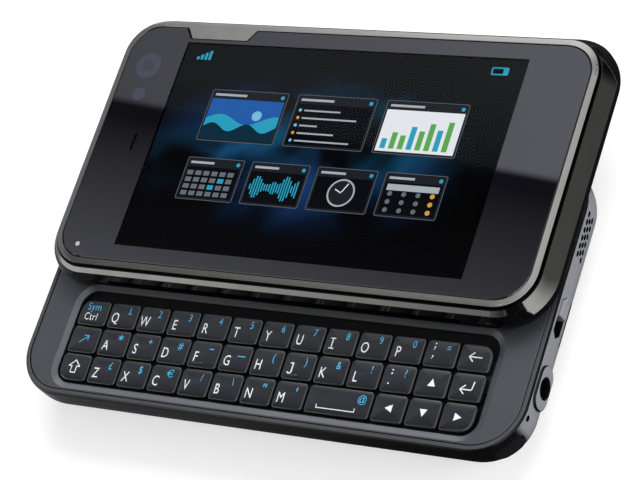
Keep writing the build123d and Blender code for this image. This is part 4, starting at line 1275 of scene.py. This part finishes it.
# In metres: how far out the floor starts to turn bright in reflections and where it is fully bright, its
# dark near part being a painted shadow, and the length of ray below which a reflection, then one of the
# phone's underside, looks through the floor.
FLOOR_BRIGHT_FROM, FLOOR_BRIGHT_AT, UNDERSIDE_REACH = 1.0, 3.5, 0.004
FLOOR_HALF, FLOOR_HEIGHT, FLOOR_GLOW = 4.0, -0.0002, 0.62


def floor_material():
    """Pale floor: white to the lens with the shadow kept, clear from below, and in reflections dark near the
    phone as a painted shadow, with a painted light grey to its left. Gloss on the phone's underside sees
    through it to the light below."""
    material = bpy.data.materials.new("floor")
    tree = emptied(material)
    path = put(tree, "ShaderNodeLightPath").outputs
    glossy = path["Is Glossy Ray"]
    place = put(tree, "ShaderNodeTexCoord").outputs["Object"]
    far = spread(tree, vectors(tree, "LENGTH", place), FLOOR_BRIGHT_FROM, FLOOR_BRIGHT_AT)
    seen = maths(tree, "MAXIMUM", path["Is Camera Ray"], product(tree, far, glossy))
    seen = maths(tree, "MAXIMUM", seen, path["Is Transmission Ray"])
    # Painted shadow and light in reflections: dark near the phone, a light grey towards the left.
    painted_light_leftward = spread(tree, axis_value(tree, place, 0), 0.04, -0.06)
    mirrored = blend_colours(tree, painted_light_leftward, grey(0.03), grey(0.4, 0.42))
    matt_colour = blend_colours(tree, product(tree, rest_of(tree, far), glossy), grey(0.5), mirrored)
    matt = put(tree, "ShaderNodeBsdfDiffuse", {"Color": matt_colour}).outputs[0]
    glow = put(tree, "ShaderNodeEmission", {"Strength": product(tree, seen, FLOOR_GLOW)}).outputs[0]
    lit = put(tree, "ShaderNodeAddShader", {0: matt, 1: glow}).outputs[0]
    clear = put(tree, "ShaderNodeBsdfTransparent").outputs[0]
    close = maths(tree, "LESS_THAN", path["Ray Length"], UNDERSIDE_REACH)
    from_below = put(tree, "ShaderNodeNewGeometry").outputs["Backfacing"]
    under = maths(tree, "MAXIMUM", from_below, product(tree, close, glossy))
    both = put(tree, "ShaderNodeMixShader", {0: under, 1: lit, 2: clear}).outputs[0]
    put(tree, "ShaderNodeOutputMaterial", {"Surface": both})
    return material


def make_floor():
    """A large flat sheet just under the phone, part of the studio and not of the phone."""
    signs = [(-1, -1), (1, -1), (1, 1), (-1, 1)]
    mesh = bpy.data.meshes.new("floor")
    corners = [(x * FLOOR_HALF, y * FLOOR_HALF, FLOOR_HEIGHT) for x, y in signs]
    mesh.from_pydata(corners, [], [[0, 1, 2, 3]])
    mesh.materials.append(floor_material())
    sheet = add_to_scene("floor", mesh)


def area_lamp(name, place, size, power):
    """A rectangular lamp turned to the phone, seen by matt surfaces only. Place and size are in metres."""
    data = bpy.data.lights.new(name, "AREA")
    data.shape = "RECTANGLE"
    data.size, data.size_y = size
    data.energy = power
    lamp = add_to_scene(name, data)
    lamp.location = place
    lamp.rotation_euler = (-Vector(place)).to_track_quat("-Z", "Y").to_euler()
    lamp.visible_camera = False
    lamp.visible_glossy = False
    lamp.visible_transmission = False


ROOM_FACING = (0.0947, 0.911, -0.4025)


def room_reflection(tree, heading):
    """What gloss sees of the room, as a level and a share of warmth. The far side is bright up to a straight
    edge, and brighter still higher up at the right. Past a dark gap the air overhead is grey, with a patch
    of light in it. Lamps stand at the left, overhead at the right, low in front, in the left corner, and at
    the right where they fade to the back. Light also comes from below. Where a heading points is told by its
    shares along X, back and up, and by its share along the way the bright side faces."""
    facing = vectors(tree, "DOT_PRODUCT", heading, ROOM_FACING)
    along, back, up = put(tree, "ShaderNodeSeparateXYZ", {0: heading}).outputs

    def zone(*edges):
        """The product of masks and of soft edges, each given as what spread needs."""
        masks = [spread(tree, *edge) if isinstance(edge, tuple) else edge for edge in edges]
        return product(tree, *masks)

    def either(share, first, second):
        """The second level where the share is one, the first where it is nothing."""
        return put(tree, "ShaderNodeMix", {0: share, 2: first, 3: second}, data_type="FLOAT").outputs[0]

    def brightest(first, *others):
        for other in others:
            first = maths(tree, "MAXIMUM", first, other)
        return first

    not_right = spread(tree, along, 0.0, -0.25)
    near_far = spread(tree, along, -0.62, -0.4, 0.45, 0.95)
    high_far = spread(tree, along, -0.58, -0.4, 0.34, 1.9)
    far = either(spread(tree, facing, 0.14, 0.24), near_far, high_far)
    far = either(spread(tree, facing, 0.4, 0.5), far, 2.4)
    far = zone(far, (facing, 0.0, 0.004), not_right)
    over = zone(
        (along, -0.62, -0.4, 0.52, 0.34),
        (facing, -0.004, -0.06, 0.0, 1.0, "LINEAR"),
        (facing, -0.26, -0.07, 0.2, 1.0),
        not_right,
        (facing, -0.5, -0.4),
    )
    under = zone((along, -0.62, -0.4, 0.08, 0.9), (facing, -0.29, -0.35), (facing, -0.56, -0.48), not_right)
    level = maths(tree, "ADD", far, brightest(over, under))
    left = zone((along, -0.72, -0.8, 0.0, 0.44), (up, 0.3, 0.38))
    overhead = zone((along, -0.26, -0.16, 0.0, 1.35), (along, 0.4, 0.25), (up, 0.82, 0.88))
    front = zone(
        (along, -0.6, -0.43, 1.9, 0.25, "LINEAR"),
        (back, -0.3, -0.5),
        (along, 0.02, -0.34, 0.0, 1.0, "LINEAR"),
        (up, 0.26, 0.38),
        (up, 0.8, 0.74),
    )
    corner = zone((along, -0.66, -0.78, 0.0, 1.7), (back, 0.05, -0.1), (up, -0.02, 0.05))
    right = zone((back, -0.62, 0.5, 1.8, 0.3), (along, 0.3, 0.4), (up, 0.2, 0.32), (up, 0.75, 0.6))
    below = zone((up, -0.05, -0.4), (along, -0.9, 0.7, 0.25, 1.0))
    level = brightest(level, left, overhead, front, corner, right, below)
    warm = [(facing, 0.06, 0.14), (along, -0.36, -0.26), (facing, -0.16, -0.26)]
    return level, brightest(*(spread(tree, *edge) for edge in warm))


MATT_LIGHT, COOL_TINT, WARM_TINT = 0.42, (0.95, 0.96, 1.08, 1.0), (1.0, 1.0, 0.975, 1.0)


def make_world():
    """A pale room: even for matt light, white where the lens sees it, and shaded in reflections."""
    world = bpy.data.worlds.new("room")
    tree = emptied(world)
    path = put(tree, "ShaderNodeLightPath").outputs
    glossy = path["Is Glossy Ray"]
    heading = put(tree, "ShaderNodeTexCoord").outputs["Generated"]
    reflection, warmth = room_reflection(tree, heading)
    seen = maths(tree, "MAXIMUM", path["Is Camera Ray"], path["Is Transmission Ray"])
    strength = maths(tree, "MAXIMUM", seen, product(tree, rest_of(tree, glossy), MATT_LIGHT))
    strength = maths(tree, "MAXIMUM", strength, product(tree, reflection, glossy))
    tint = blend_colours(tree, warmth, COOL_TINT, WARM_TINT)
    colour = blend_colours(tree, glossy, grey(1.0), tint)
    light = put(tree, "ShaderNodeBackground", {"Color": colour, "Strength": strength}).outputs[0]
    put(tree, "ShaderNodeOutputWorld", {"Surface": light})
    bpy.context.scene.world = world


make_camera()
make_floor()
make_world()
area_lamp("key_softbox", (0.0, 1.15, 1.15), (1.4, 0.9), 27.0)
area_lamp("side_softbox", (1.0, 0.1, 0.35), (0.6, 0.5), 9.0)
bpy.context.scene.view_settings.view_transform = "Standard"
